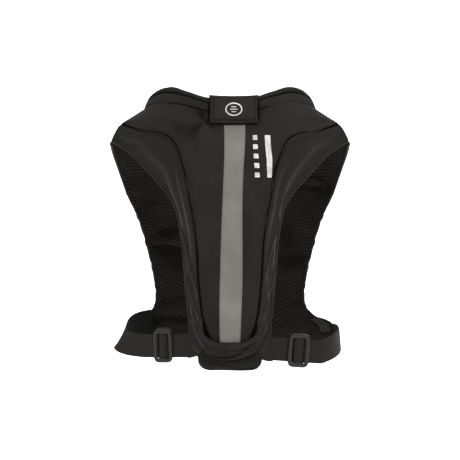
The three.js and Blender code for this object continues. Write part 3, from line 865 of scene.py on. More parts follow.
@dataclass(frozen=True)
class Satin(Finish):
    """Smooth stretch cloth: fine slanting ribs, soft gloss that varies at random, and painted highlights
    along the fold crests with painted shade in the folds.
    """

    rib: float = 0.7 * MM

    def build(self) -> bpy.types.Material:
        """Makes the material."""
        material, graph, shader = self.start()
        axes = graph.add("ShaderNodeSeparateXYZ", Vector=self.cut(graph))
        slant = graph.math("ADD", axes.outputs[0], graph.math("MULTIPLY", axes.outputs[1], 0.6))
        ribs = graph.math("SINE", graph.math("MULTIPLY", slant, TAU / self.rib))
        lint = effect(graph, "cloth_lint", Vector=self.place(graph), Cloud=22.0)
        shade = self.toned(graph, lint.outputs["Shade"], (0.25, 0.75), 0.8, 1.25)
        dusty = self.rubbed(graph, lint.outputs["Lint"], 0.25, shade, 2.6)
        # painted highlights on fold crests and painted shade in the folds, from the relief height
        graph.tree.links.new(self.hollowed(graph, dusty, 1.8 * MM, 1.6), shader.inputs["Base Color"])
        self.bump(graph, shader, ribs, 0.05 * MM, 0.6)
        self.roughen(graph, shader, lint.outputs["Shade"], 0.3, 0.15)
        return material


@dataclass(frozen=True)
class SpacerMesh(Finish):
    """Open mesh: staggered dark cells between lighter knitted strands."""

    pitch: float = MESH_PITCH

    def build(self) -> bpy.types.Material:
        """Makes the material."""
        material, graph, shader = self.start()
        cut = self.cut(graph)
        cells = effect(graph, "mesh_cells", Vector=cut, Pitch=self.pitch)
        fine = effect(graph, "mesh_cells", Vector=cut, Pitch=self.pitch / 5)
        hole = graph.ramp(cells.outputs["Hole"], 0.25, 0.8)
        lint = effect(graph, "cloth_lint", Vector=self.place(graph), Cloud=18.0)
        strand = self.toned(graph, lint.outputs["Shade"], (0.3, 0.7), 0.8, 1.3)
        knit = self.rubbed(graph, fine.outputs["Hole"], 0.45, strand, 0.4)
        open_cells = graph.mix(hole, knit, scaled(self.colour, 0.12))
        # painted shade in the dimples and in the lining's folds, with no crest highlight
        graph.tree.links.new(self.hollowed(graph, open_cells, 2.5 * MM, 1.0), shader.inputs["Base Color"])
        height = graph.math("SUBTRACT", graph.math("MULTIPLY", fine.outputs["Hole"], -0.25), hole)
        self.bump(graph, shader, height, 0.6 * MM)
        return material


@dataclass(frozen=True)
class Webbing(Finish):
    """Woven strap: ribs across it in a herringbone, with thicker edges."""

    rib: float = 1.3 * MM

    def build(self) -> bpy.types.Material:
        """Makes the material."""
        material, graph, shader = self.start()
        axes = graph.add("ShaderNodeSeparateXYZ", Vector=self.cut(graph))
        zigzag = graph.math("PINGPONG", axes.outputs[0], 5 * MM)
        slant = graph.math("ADD", axes.outputs[1], graph.math("MULTIPLY", zigzag, 0.55))
        ribs = graph.math("SINE", graph.math("MULTIPLY", slant, TAU / self.rib))
        cords = graph.math("SINE", graph.math("MULTIPLY", axes.outputs[0], TAU / (2.5 * MM)))
        height = graph.math("ADD", ribs, graph.math("MULTIPLY", cords, 0.35))
        lint = effect(graph, "cloth_lint", Vector=self.place(graph), Cloud=30.0)
        tone = self.toned(graph, height, (-1.0, 1.0), 0.72, 1.25)
        dusty = self.rubbed(graph, lint.outputs["Lint"], 0.3, tone, 2.4)
        graph.tree.links.new(dusty, shader.inputs["Base Color"])
        self.bump(graph, shader, height, 0.14 * MM)
        return material


@dataclass(frozen=True)
class Reflective(Finish):
    """Glass-bead tape: a fine bead grain under a faint crossing print, with worn patches."""

    def build(self) -> bpy.types.Material:
        """Makes the material."""
        material, graph, shader = self.start()
        cells = effect(graph, "mesh_cells", Vector=self.cut(graph), Pitch=2.2 * MM)
        lint = effect(graph, "cloth_lint", Vector=self.place(graph), Cloud=26.0, Speck=900.0)
        worn = self.toned(graph, lint.outputs["Shade"], (0.3, 0.75), 0.86, 1.1)
        print_lines = graph.math("SUBTRACT", 1.0, graph.ramp(cells.outputs["Hole"], 0.0, 0.18))
        printed = self.rubbed(graph, print_lines, 0.35, worn, 0.7)
        graph.tree.links.new(printed, shader.inputs["Base Color"])
        beads = graph.add("ShaderNodeTexVoronoi", Vector=self.place(graph), Scale=2600.0)
        self.bump(graph, shader, beads.outputs[0], 0.05 * MM, 0.5)
        return material


@dataclass(frozen=True)
class Moulded(Finish):
    """Moulded nylon or rubbery plastic: spark-etched grain and polished, scuffed edges."""

    grain: float = 900.0
    metal: float = 0.0

    def build(self) -> bpy.types.Material:
        """Makes the material."""
        material, graph, shader = self.start()
        shader.inputs["Metallic"].default_value = self.metal
        place = self.place(graph)
        grain = graph.add("ShaderNodeTexNoise", Vector=place, Scale=self.grain, Detail=3.0)
        scuff = graph.add("ShaderNodeTexNoise", Vector=place, Scale=90.0, Detail=5.0)
        edge = graph.add("ShaderNodeNewGeometry").outputs["Pointiness"]
        worn = graph.math(
            "MULTIPLY", graph.ramp(edge, 0.51, 0.6), graph.ramp(scuff.outputs[0], 0.35, 0.65)
        )
        tone = self.toned(graph, scuff.outputs[0], (0.3, 0.7), 0.85, 1.15)
        graph.tree.links.new(self.rubbed(graph, worn, 0.6, tone, 2.2), shader.inputs["Base Color"])
        self.roughen(graph, shader, scuff.outputs[0], 0.25, 0.12)
        self.bump(graph, shader, grain.outputs[0], 0.06 * MM, 0.5)
        return material


RIPSTOP = Woven("ripstop_cloth", linear(32, 28, 27), 0.85, 0.04, 0.14)
TAB_CLOTH = Woven(
    "tab_twill", linear(36, 32, 30), 0.85, 0.05, 0.14, yarn=0.8 * MM, relief=0.2 * MM, grid=2.4 * MM
)
JERSEY = Woven(
    "tail_jersey", linear(25, 22, 21), 0.9, 0.03, 0.08, yarn=0.4 * MM, grid=2.4 * MM, grid_light=1.05
)
SATIN = Satin("stretch_satin", linear(20, 17, 14), 0.55, 0.03, 0.17)
LINING = SpacerMesh("spacer_mesh", linear(39, 34, 32), 0.9, 0.03, 0.08)
STRAP = Webbing("strap_webbing", linear(31, 27, 25), 0.7, 0.04, 0.16)
# Painted shade: a darker copy of the strap webbing, for the shade inside the strap's loop.
STRAP_PAINTED_SHADE = Webbing("strap_inner_webbing", linear(13, 12, 11), 0.8, 0.02, 0.1)
TAPE = Webbing("zip_tape", linear(16, 14, 14), 0.85, 0.05, 0.2, rib=0.7 * MM)
SILVER = Reflective("bead_tape", linear(112, 109, 103), 0.5, 0.0, 0.3)
GREY_THREAD = Moulded("grey_thread", linear(92, 90, 85), 0.7)
GREY_WEBBING = Webbing("anchor_webbing", linear(48, 45, 41), 0.75, 0.05, 0.2)
PRINT = Moulded("transfer_print", linear(190, 189, 186), 0.6, grain=1500.0)
NYLON = Moulded("moulded_nylon", linear(24, 22, 21), 0.36, gloss=0.4)
COIL = Moulded("zip_coil", linear(14, 13, 13), 0.4, gloss=0.4)
THREAD = Moulded("seam_thread", linear(20, 18, 18), 0.7, gloss=0.2, grain=2500.0)
# Near-black for painted shadows: strands and strips in seams, beside and under the tab, along the hem band
# and in the adjuster's opening; the collar zip tape wears it too, its own dark colour deepened by painted
# shade.
SHADOW_AND_TAPE_BLACK = Moulded("seam_shadow", linear(6, 5, 5), 0.95, gloss=0.05, grain=1500.0)
STEEL = Moulded("brushed_metal", linear(170, 172, 174), 0.32, gloss=0.5, metal=1.0)
GUNMETAL = Moulded("gunmetal", linear(74, 75, 77), 0.4, gloss=0.5, metal=1.0)
FILM = Moulded("bladder_film", linear(120, 122, 125), 0.45, gloss=0.5)
SIGNAL = Moulded("signal_plastic", linear(178, 40, 32), 0.35, gloss=0.5)
MATERIALS: dict[str, bpy.types.Material] = {}


def dress(obj: bpy.types.Object, finish: Finish) -> None:
    """Gives an object a finish's material, which is made the first time it is asked for."""
    if finish.name not in MATERIALS:
        MATERIALS[finish.name] = finish.build()
    obj.data.materials.clear()
    obj.data.materials.append(MATERIALS[finish.name])


def finish_piece(
    obj: bpy.types.Object,
    finish: Finish,
    body: str | None,
    stands_for: Sequence[str] = (),
) -> bpy.types.Object:
    """Gives a piece its material and its body, hides the CAD nodes that it replaces, and logs it.

    Args:
        obj: The piece.
        finish: Its finish.
        body: The body that it rides on, or None for a piece between two that rides on neither.
        stands_for: The CAD nodes that it replaces.

    Returns:
        The piece.
    """
    dress(obj, finish)
    if body:
        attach(obj, body)
    if stands_for:
        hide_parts(*stands_for)
    LOG.info("piece %s on %s", obj.name, body or "two bodies")
    return obj


def dress_node(node: str, finish: Finish) -> None:
    """Gives a CAD node that stays shown its detailed material."""
    dress(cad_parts[node], finish)
    LOG.info("node %s dressed with %s", node, finish.name)


# ---------------------------------------------------------------- the back pod


# each fold: where its crest starts and ends (u, v, u, v), how wide and how high it is in millimetres
GUSSET_FOLDS = {
    Side.RIGHT: (
        (0.50, 0.74, 0.60, 0.40, 9, 2.6), (0.62, 0.42, 0.66, 0.24, 6, 2.6),
        (0.92, 0.35, 0.25, 0.205, 4.5, 3.2), (0.22, 0.52, 0.16, 0.30, 6, 1.8),
        (0.80, 0.20, 0.30, 0.10, 5, 3.4), (0.30, 0.16, 0.45, 0.03, 6, 3.0),
        (0.85, 0.14, 0.80, 0.02, 4, 2.0), (0.30, 0.95, 0.55, 0.70, 8, 1.4),
    ),
    Side.LEFT: (
        (0.60, 0.72, 0.55, 0.44, 10, 2.4), (0.24, 0.46, 0.30, 0.25, 6, 2.4),
        (0.95, 0.29, 0.10, 0.16, 4.5, 3.4), (0.90, 0.20, 0.15, 0.085, 4.5, 3.2),
        (0.70, 0.48, 0.75, 0.32, 7, 2.2), (0.60, 0.10, 0.40, 0.01, 6, 2.6),
        (0.40, 0.95, 0.45, 0.72, 8, 1.4),
    ),
}


@dataclass
class BackPod:
    """The ripstop cover, its stripe and prints, the satin side gussets and the body side."""

    stripe_half: float = 18 * MM
    seam_roll: float = 3.2 * MM
    seam_depth: float = 2.0 * MM

    def __post_init__(self) -> None:
        """Lays out the cover's surface."""
        self.surface = back_patch(SPINE, PRINCESS, NECK)

    def reach(self, v: np.ndarray) -> np.ndarray:
        """The cover's half width at each v."""
        return np.abs(self.surface(np.ones_like(v), v)[:, 0])

    def relief(self, u: np.ndarray, v: np.ndarray, points: np.ndarray) -> np.ndarray:
        """The cover's rolled seam edges, tucks beside the neck tab and soft unevenness."""
        edge = (1 - np.abs(2 * u - 1)) * self.reach(v)
        height = -self.seam_depth * np.exp(-((edge / self.seam_roll) ** 2))
        height += 0.9 * MM * bump(edge, 9 * MM, 6 * MM)
        height += (
            1.3 * MM * ripples(points, (0.11, 0.2, 0.16), 4)
            + 0.45 * MM * ripples(points, (0.035, 0.1, 0.05), 6)
        ) * smooth(edge, 0, 0.02)
        x, z = np.abs(points[:, 0]) - 44 * MM, points[:, 2] + 20 * MM
        away = np.hypot(x, z)
        fold = np.sin(3.2 * np.arctan2(z, x) + 0.9) * np.exp(-away / (26 * MM)) * smooth(away, 0, 8 * MM)
        height += 1.4 * MM * fold * smooth(points[:, 2], -0.1, -0.03)
        height += 0.8 * MM * np.sin(
            points[:, 2] / (17 * MM) + 9 * points[:, 0] / 0.06
        ) * bump(points[:, 2], -0.15, 0.05) * smooth(edge, 0, 0.03)
        return height

    def cover(self) -> None:
        """The ripstop cover from seam to seam and up to the collar."""
        surface = lambda u, v: self.surface(0.5 + (u - 0.5) * (1 - 0.8 * MM / self.reach(v)), v)
        obj = cloth("back_cover_cloth", surface, (120, 170), (0, -1, 0.3), relief=self.relief)
        finish_piece(obj, RIPSTOP, "back", ["back_cover"])
        for side in Side:
            line = lambda v, s=side.value: 0.5 + s * (0.5 - 5.0 * MM / (2 * self.reach(v)))
            row = seam_row(
                f"princess_stitches_{side.word}", self.surface, (0, -1, 0.3), line, (0.03, 0.9), self.relief
            )
            finish_piece(row, THREAD, "back")

    def seams(self) -> None:
        """A near-black strand sunk in each princess seam: painted shadow along the seam."""
        for side in Side:
            sunk = lambda v, s=side.value: mirrored(PRINCESS.at(v), s) + np.array([0, 1.2 * MM, -0.4 * MM])
            obj = swept(
                f"princess_welt_{side.word}", sunk, (1.7 * MM, 1.6 * MM),
                always(0, 1, 0), (8, 150),
            )
            finish_piece(obj, SHADOW_AND_TAPE_BLACK, "back")

    def stripe(self) -> None:
        """The bead-tape stripe with its two rows of edge stitches."""
        climb = lambda v: 0.004 + 0.9 * v

        def across(u: np.ndarray, v: np.ndarray) -> np.ndarray:
            """Shares across the cover where the stripe lies, with its lean."""
            along = climb(v)
            offset = (2 * u - 1) * self.stripe_half * (0.93 - 0.1 * bump(v, 0.66, 0.22))
            lean = HANG_LEAN * smooth(v, 0.0, 1.0) + 1.1 * MM * np.sin(9 * v) * v
            return 0.5 + (offset + lean) / (2 * self.reach(along))

        surface = lambda u, v: self.surface(across(u, v), climb(v))
        relief = lambda u, v, p: self.relief(across(u, v), climb(v), p) + 0.9 * MM
        obj = cloth("stripe_tape", surface, (16, 170), (0, -1, 0), 0.5 * MM, relief)
        finish_piece(obj, SILVER, "back", ["reflective_stripe"])
        for side in Side:
            row = seam_row(
                f"stripe_stitches_{side.word}", surface, (0, -1, 0),
                lambda v, s=side.value: np.full_like(v, 0.5 + s * 0.46), (0.01, 0.99), relief,
            )
            finish_piece(row, GREY_THREAD, "back")

    def prints(self) -> None:
        """Two plain transfer bars beside the stripe: a row of dashes and a slim solid bar."""
        top, bottom = -44 * MM, -116 * MM
        for name, low, high, gaps in (("print_dashes", 35, 41, 4), ("print_bar", 51, 58, 0)):
            shares = np.linspace(0, 1, 2 * gaps + 2)
            pairs = [(shares[i], shares[i + 1]) for i in range(0, len(shares) - 1, 2)]
            for index, (a, b) in enumerate(pairs):
                ends = [bottom + (top - bottom) * share for share in (a, b)]
                self.transfer(f"{name}_{index}", low * MM, high * MM, *ends)

    def transfer(self, name: str, left: float, right: float, low: float, high: float) -> None:
        """One flat transfer on the cover, between two X and two Z."""

        def locate(u: np.ndarray, v: np.ndarray) -> tuple[np.ndarray, np.ndarray]:
            """Shares on the cover for each place on the print."""
            x, z = left + (right - left) * u, low + (high - low) * v
            along = np.full_like(z, 0.7)
            for _ in range(12):
                across = 0.5 + x / (2 * self.reach(along))
                here = self.surface(across, along)[:, 2]
                slope = (self.surface(across, along + 1e-3)[:, 2] - here) / 1e-3
                along = np.clip(along + (z - here) / slope, 0.3, 0.98)
            return across, along

        relief = lambda u, v, p: self.relief(*locate(u, v), p) + 0.35 * MM
        cells = (6, max(6, int((high - low) / (2 * MM))))
        obj = cloth(name, lambda u, v: self.surface(*locate(u, v)), cells, (0, -1, 0), 0.3 * MM, relief)
        finish_piece(obj, PRINT, "back")

    def gusset_relief(self, side: Side) -> Relief:
        """The long soft folds of a gusset, each a rounded crest with a hollow on its outer flank."""

        def relief(u: np.ndarray, v: np.ndarray, points: np.ndarray) -> np.ndarray:
            """The rolled edge, the long folds, fine creases and crumpled spots."""
            width = np.linalg.norm(ARMHOLE.at(v) - PRINCESS.at(v), axis=1)
            edge = np.minimum(u, 1 - u) * width
            wander = 0.05 * ripples(np.stack([0 * u, 0 * v, v], 1), (1, 1, 0.16), 11 + side.value)
            folds = np.zeros_like(u)
            for u0, v0, u1, v1, spread, height in GUSSET_FOLDS[side]:
                share = np.clip((v - v0) / (v1 - v0), -0.5, 1.5)
                off = (u + wander - (u0 + (u1 - u0) * share)) * width / (spread * MM)
                fade = smooth(share, -0.25, 0.15) * (1 - smooth(share, 0.85, 1.25))
                folds += height * MM * fade * (np.exp(-(off**2)) - 0.55 * np.exp(-((off - 1.7) ** 2)))
            fine = 0.45 * MM * ripples(points, (0.05, 0.07, 0.09), 12)
            crumple = 1.1 * MM * ripples(points, (0.02, 0.04, 0.03), 13) * (
                bump(v, 0.19, 0.03) + bump(v, 0.09, 0.04)
            )
            roll = -1.8 * MM * np.exp(-((u * width / (2.4 * MM)) ** 2))
            return roll + smooth(edge, 0, 6 * MM) * (folds + fine + crumple + 1.2 * MM)

        return relief

    def gussets(self) -> None:
        """The satin side gussets, their hems at the armhole and their stitches."""
        for side in Side:
            s = side.value
            surface = strip(PRINCESS, ARMHOLE, s, 1.5 * MM)
            inside = lambda u, v, f=surface: f(0.02 + 0.97 * u, v)
            relief = self.gusset_relief(side)
            obj = cloth(f"gusset_cloth_{side.word}", inside, (44, 240), (s, -1, 0), 1.4 * MM, relief)
            finish_piece(obj, SATIN, "back", [f"side_gusset_{side.word}"])
            hem = lambda v: 1 - 7 * MM / np.linalg.norm(ARMHOLE.at(v) - PRINCESS.at(v), axis=1)
            row = seam_row(
                f"armhole_stitches_{side.word}", surface, (s, -1, 0), hem, (0.02, 1), relief, 0.3 * MM
            )
            finish_piece(row, THREAD, "back")
            edge = lambda v, s=s: mirrored(ARMHOLE.at(v), s) + np.array([-s * 0.4 * MM, 1.6 * MM, 0])
            lean = lambda v, s=s: mirrored(ARMHOLE.at(v) - PRINCESS.at(v), s)
            binding = swept(
                f"armhole_binding_{side.word}", edge, (2.4 * MM, 3.0 * MM), lean, (12, 160), BINDING_SQUARE
            )
            finish_piece(binding, SATIN, "back")

    def body_side(self) -> None:
        """The spacer-mesh liner and the quilted spine pad."""
        sides = Rail(
            [
                tuple(p / MM + np.array([-2 - 3 * k, 3.5 - 2.5 * k, -9 * k]))
                for p, k in zip(ARMHOLE.points, np.linspace(0, 1, len(ARMHOLE.points)) ** 2)
            ]
        )
        surface = back_patch(INNER_SPINE, sides, INNER_NECK)
        dimple = dimples(surface)
        obj = cloth("back_liner_mesh", surface, (150, 200), (0, 1, 0), 1.5 * MM, dimple, 2.4 * MM)
        finish_piece(obj, LINING, "back", ["back_liner"])
        low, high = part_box("spine_pad")
        centre, half = (low + high) / 2, (high - low) / 2

        def pad(u: np.ndarray, v: np.ndarray) -> np.ndarray:
            """A closed box with rounded sides round the pad."""
            turn, climb = TAU * u, math.pi * (v - 0.5)
            squared = lambda value, power: np.sign(value) * np.abs(value) ** power
            ring = squared(np.cos(climb), 0.35)
            x = half.x * squared(np.cos(turn), 0.5) * ring
            z = half.z * squared(np.sin(turn), 0.28) * ring
            return np.stack(
                [centre.x + x, centre.y + half.y * squared(np.sin(climb), 0.6), centre.z + z], 1
            )

        def quilting(u: np.ndarray, v: np.ndarray, points: np.ndarray) -> np.ndarray:
            """Sewn channels across the pad, and its groove along the spine."""
            channel = np.abs(np.sin(math.pi * (points[:, 2] - low.z) / (48 * MM))) ** 0.35
            spine = smooth(np.abs(points[:, 0]), 0, 9 * MM)
            front = smooth(points[:, 1], centre.y, high.y)
            return -2.4 * MM * (1 - channel * spine) * front

        quilt = cloth("spine_pad_cushion", pad, (120, 90), (0, 0, 0), 0.0, quilting)
        close_object(quilt, SEAM_GAP)
        finish_piece(quilt, LINING, "back", ["spine_pad"])


def dimples(surface: Surface, pitch: float = MESH_PITCH, depth: float = 1.0 * MM) -> Relief:
    """The pressed cells of spacer mesh, as relief on the lengths of a surface."""
    share = np.linspace(0, 1, 200)
    half = np.full_like(share, 0.5)
    wide = surface(share, half)
    tall = surface(half, share)
    width = np.concatenate([[0], np.cumsum(np.linalg.norm(np.diff(wide, axis=0), axis=1))])
    length = np.concatenate([[0], np.cumsum(np.linalg.norm(np.diff(tall, axis=0), axis=1))])

    def relief(u: np.ndarray, v: np.ndarray, points: np.ndarray) -> np.ndarray:
        """Pressed cells in staggered rows."""
        x = (np.interp(u, share, width) - np.interp(0.5, share, width)) / pitch
        y = np.interp(v, share, length) / pitch
        cells = np.abs(np.sin(math.pi * (x + y)) * np.sin(math.pi * (x - y)))
        return -depth * cells + 1.2 * MM * ripples(points, (0.05, 0.08, 0.06), 31)

    return relief


# ---------------------------------------------------------------- collar and neck tab


def inward_at(t: np.ndarray) -> np.ndarray:
    """The way from the collar towards the neck, for shares from its middle to its ends."""
    inward = np.stack([-0.45 * t, 1 - 0.35 * t, np.zeros_like(t)], 1)
    return inward / np.linalg.norm(inward, axis=1)[:, None]


def halves(v: np.ndarray) -> tuple[np.ndarray, np.ndarray]:
    """Shares from end to end as shares from the middle, just short of the ends, and a side's sign."""
    return np.abs(2 * v - 1) * 0.985, np.sign(2 * v - 1 + 1e-9)


@dataclass
class Collar:
    """The two collar bands with the zip between them, and the tab folded over them."""

    coil_pitch: float = 1.9 * MM
    badge_radius: float = 15.5 * MM

    def band(
        self, name: str, low: Rail, high: Rail, puff: float, reach: tuple[float, float], finish: Finish,
        node: str,
    ) -> None:
        """One padded band from end to end.

        Args:
            name: The piece's name.
            low: The band's foot.
            high: Its brim.
            puff: How far its middle stands out.
            reach: Shares of the way from foot to brim where it starts and ends.
            finish: Its finish.
            node: The CAD node that it stands for.
        """
        thickness = 3.6 * MM

        def surface(u: np.ndarray, v: np.ndarray) -> np.ndarray:
            """The closed section of the band, carried from end to end."""
            signed = 2 * u - 1
            t = np.abs(signed)
            foot, brim = low.at(t), high.at(t)
            turn = TAU * v
            share = 0.5 - 0.5 * np.cos(turn)
            high_reach = reach[1] + (reach[0] + 0.25 - reach[1]) * smooth(t, 0.86, 1.0) ** 2
            share = reach[0] + (high_reach - reach[0]) * np.clip(share, 0, 1)
            points = foot + (brim - foot) * share[:, None]
            inward = inward_at(t)
            depth = np.where(np.sin(turn) > 0, -puff, thickness) * np.abs(np.sin(turn)) ** 0.55
            ends = np.sqrt(np.clip(1 - t**40, 0, 1))
            points = points + inward * (depth * ends)[:, None]
            return mirrored(points, np.where(signed < 0, -1.0, 1.0))

        relief = lambda u, v, p: 0.5 * MM * ripples(p, (0.05, 0.05, 0.03), 51)
        obj = cloth(name, surface, (220, 28), (0, -1, 0.2), 0.0, relief)
        close_object(obj, SEAM_GAP)
        finish_piece(obj, finish, "back", [node])

    def bands(self) -> None:
        """Both bands and the coil zip between them."""
        self.band(
            "collar_lower_pad", COLLAR_SEAM, COLLAR_SPLIT, 2.2 * MM, (0.03, 0.88), RIPSTOP,
            "collar_lower_band",
        )
        self.band(
            "collar_upper_pad", COLLAR_SPLIT, COLLAR_TOP, 1.8 * MM, (0.22, 1.0), SATIN,
            "collar_upper_band",
        )

        def line(v: np.ndarray) -> np.ndarray:
            """The zip's middle, just inside the split between the bands."""
            t, sign = halves(v)
            inward = inward_at(t)
            return mirrored(COLLAR_SPLIT.at(t) + 1.5 * MM * inward, sign) + np.array([0, 0, 0.5 * MM])

        def lean(v: np.ndarray) -> np.ndarray:
            """The slope of the bands, from foot to brim."""
            t, sign = halves(v)
            return mirrored(COLLAR_TOP.at(t) - COLLAR_SEAM.at(t), sign)

        # the zip tape is near-black: its own dark colour, deepened by painted shade between the bands
        tape = swept("collar_zip_tape", line, (4.6 * MM, 1.0 * MM), lean, (10, 260), 0.7)
        finish_piece(tape, SHADOW_AND_TAPE_BLACK, "back", ["collar_zip"])
        share = np.linspace(0.04, 0.96, 500)
        points = line(share) + np.array([0, -1.1 * MM, 0])
        coil = stitches(
            "collar_zip_coil", points, np.tile([0, -1.0, 0.2], (500, 1)), self.coil_pitch, 0.5 * MM
        )
        finish_piece(coil, COIL, "back")
        share = np.linspace(0, 1, 300)
        signed = 2 * share - 1
        seam = mirrored(
            COLLAR_SEAM.at(np.abs(signed)) * 0.86 + COLLAR_SPLIT.at(np.abs(signed)) * 0.14, np.sign(signed)
        )
        row = stitches(
            "collar_stitches", seam + np.array([0, -1.3 * MM, 0]), np.tile([0, -1.0, 0.2], (300, 1))
        )
        finish_piece(row, THREAD, "back")
        # painted shadow: a near-black strand sunk along the collar's seam
        shadow = lambda v: mirrored(
            COLLAR_SEAM.at(np.abs(2 * v - 1)), np.sign(2 * v - 1 + 1e-9)
        ) + np.array([0, 0.9 * MM, -0.6 * MM])
        shadow_strand = swept(
            "collar_seam_welt", shadow, (1.1 * MM, 1.1 * MM), always(0, 1, 0),
            (8, 220),
        )
        finish_piece(shadow_strand, SHADOW_AND_TAPE_BLACK, "back")

    def tab(self) -> None:
        """The neck tab, its rolled root over the collar, its stitches and its plain badge."""
        low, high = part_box("neck_tab")
        root_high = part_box("tab_root")[1]
        half, middle = (high.x - low.x) / 2, (low.x + high.x) / 2 + HANG_LEAN
        depth = high.y - low.y

        def face(u: np.ndarray, v: np.ndarray) -> np.ndarray:
            """The tab's outer face, with its sagging foot."""
            x = middle + (2 * u - 1) * half * 0.965
            pinch = 1 - 0.03 * np.sin(math.pi * v)
            sag = 1.2 * MM * (1 - (2 * u - 1) ** 2) * (1 - v)
            z = low.z - sag + (high.z - low.z) * v + 1.8 * MM * (2 * u - 1) ** 2 * v
            return np.stack([x * pinch, np.full_like(u, low.y), z], 1)

        def relief(u: np.ndarray, v: np.ndarray, points: np.ndarray) -> np.ndarray:
            """The rolled edge, the sewn groove inside it and soft waves."""
            edge = np.minimum(
                np.minimum(u, 1 - u) * 2 * half, np.minimum(v, 1.2 - v) * (high.z - low.z)
            )
            roll = -2.0 * MM * np.exp(-((edge / (2.0 * MM)) ** 2))
            sewn = -1.7 * MM * bump(edge, 5.6 * MM, 1.2 * MM) + 0.8 * MM * smooth(edge, 7 * MM, 15 * MM)
            return roll + 0.5 * MM * bump(edge, 3.4 * MM, 1.2 * MM) + sewn + 0.9 * MM * ripples(
                points, (0.04, 0.1, 0.03), 71
            ) * smooth(edge, 0, 0.01)

        obj = cloth("neck_tab_cloth", face, (90, 50), (0, -1, 0), depth, relief, 1.2 * MM)
        bevel = obj.modifiers.new("soft_edge", "BEVEL")
        bevel.width, bevel.segments, bevel.limit_method = 1.0 * MM, 3, "ANGLE"
        bevel.angle_limit = math.radians(50)
        finish_piece(obj, TAB_CLOTH, "neck_tab", ["neck_tab"])
        for name, at in (("left", 0.07), ("right", 0.93)):
            across = lambda v, at=at: np.full_like(v, at)
            row = seam_row(
                f"tab_stitches_{name}", face, (0, -1, 0), across, (0.14, 0.98), relief, 1.3 * MM
            )
            finish_piece(row, THREAD, "neck_tab")
        share = np.linspace(0.07, 0.93, 120)
        level = np.full_like(share, 0.14)
        points = face(share, level) + np.array([0, -1.3 * MM, 0])
        row = stitches("tab_stitches_foot", points, np.tile([0, -1.0, 0], (120, 1)))
        finish_piece(row, THREAD, "neck_tab")

        def root(u: np.ndarray, v: np.ndarray) -> np.ndarray:
            """The cloth that rolls over the collar and down its inside."""
            turn = math.pi * np.clip(v / 0.7, 0, 1)
            radius_y = (root_high.y - low.y) / 2
            centre_y = (root_high.y + low.y) / 2
            rise = root_high.z - high.z
            z = high.z - 0.4 * MM + rise * np.sin(turn) - (v > 0.7) * (v - 0.7) / 0.3 * 14 * MM
            x = middle + (2 * u - 1) * half * 0.985
            return np.stack([x, centre_y - radius_y * np.cos(turn), z + 1.8 * MM * (2 * u - 1) ** 2], 1)

        # painted shadow: near-black strips beside and under the tab, where shade falls
        under = Rail([(middle / MM - 43, low.y / MM + 2.0, z) for z in (-20.5, 10)])
        for sign in (-1, 1):
            place = lambda v, k=sign: under.at(v) + np.array([(1 + k) * 42.6 * MM, 0, 0])
            shadow_strip = swept(
                f"tab_shadow_{'left' if sign < 0 else 'right'}", place, (1.0 * MM, 1.0 * MM),
                always(1, 0, 0), (8, 20),
            )
            finish_piece(shadow_strip, SHADOW_AND_TAPE_BLACK, "neck_tab")
        foot = Rail(
            [
                (middle / MM - 42, low.y / MM + 2.0, -23.4), (middle / MM, low.y / MM + 2.0, -24.6),
                (middle / MM + 42, low.y / MM + 2.0, -23.4),
            ]
        )
        shadow_strip = swept(
            "tab_shadow_foot", foot.at, (1.1 * MM, 1.1 * MM), always(0, 0, 1),
            (8, 40),
        )
        finish_piece(shadow_strip, SHADOW_AND_TAPE_BLACK, "neck_tab")
        over = cloth("tab_root_cloth", root, (60, 40), (0, 0, 1), 1.6 * MM, None)
        finish_piece(over, TAB_CLOTH, "back", ["tab_root"])
        self.badge(middle, low.y)

    def badge(self, x: float, y: float) -> None:
        """A plain raised ring with a wave of three short bars inside it."""
        low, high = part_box("tab_badge")
        centre = (low + high) / 2
        front = y - 2.7 * MM
        ring = lambda v: np.stack(
            [
                x + self.badge_radius * 0.86 * np.cos(TAU * v), np.full_like(v, front),
                centre.z + self.badge_radius * 0.66 * np.sin(TAU * v),
            ],
            1,
        )
        outward = lambda v: np.stack([np.cos(TAU * v), np.zeros_like(v), np.sin(TAU * v)], 1)
        work = bmesh.new()
        bmesh.ops.create_grid(work, x_segments=8, y_segments=72, size=0.5)
        for vert in work.verts:
            turn, share = TAU * (vert.co.x + 0.5), np.array([vert.co.y + 0.5])
            spot = ring(share)[0] + outward(share)[0] * 1.1 * MM * math.cos(turn) + np.array(
                [0, -0.45 * MM * math.sin(turn), 0]
            )
            vert.co = spot
        close_seams(work, 0.01 * MM)
        for offset, length in ((-4.2, 8.0), (0.0, 13.0), (4.2, 8.0)):
            place = Matrix.Translation((x, front, centre.z + offset * MM)) @ Matrix.Diagonal(
                (length * MM, 0.7 * MM, 1.5 * MM, 1)
            )
            add_block(work, place, 0.3 * MM, 2)
        finish_piece(new_object("badge_ring", work), PRINT, "neck_tab", ["tab_badge"])


# ---------------------------------------------------------------- shoulders and front panels


LAP_SHARE = 0.1  # where a front panel starts, just under the end of its shoulder

# each fold: its level and how much that slants, how wide and how deep it is, in millimetres
# the lining's painted shade is darkest in the hollows of these folds
LINING_FOLDS = {
    Side.LEFT: (
        (-366, 8, 9, 6.0), (-238, 14, 7, 5.0), (-327, -10, 7, 6.0), (-150, 10, 9, 3.0), (-205, -20, 6, 2.4)
    ),
    Side.RIGHT: ((-126, -12, 8, 5.0), (-338, 12, 7, 4.5), (-260, 16, 9, 2.6)),
}


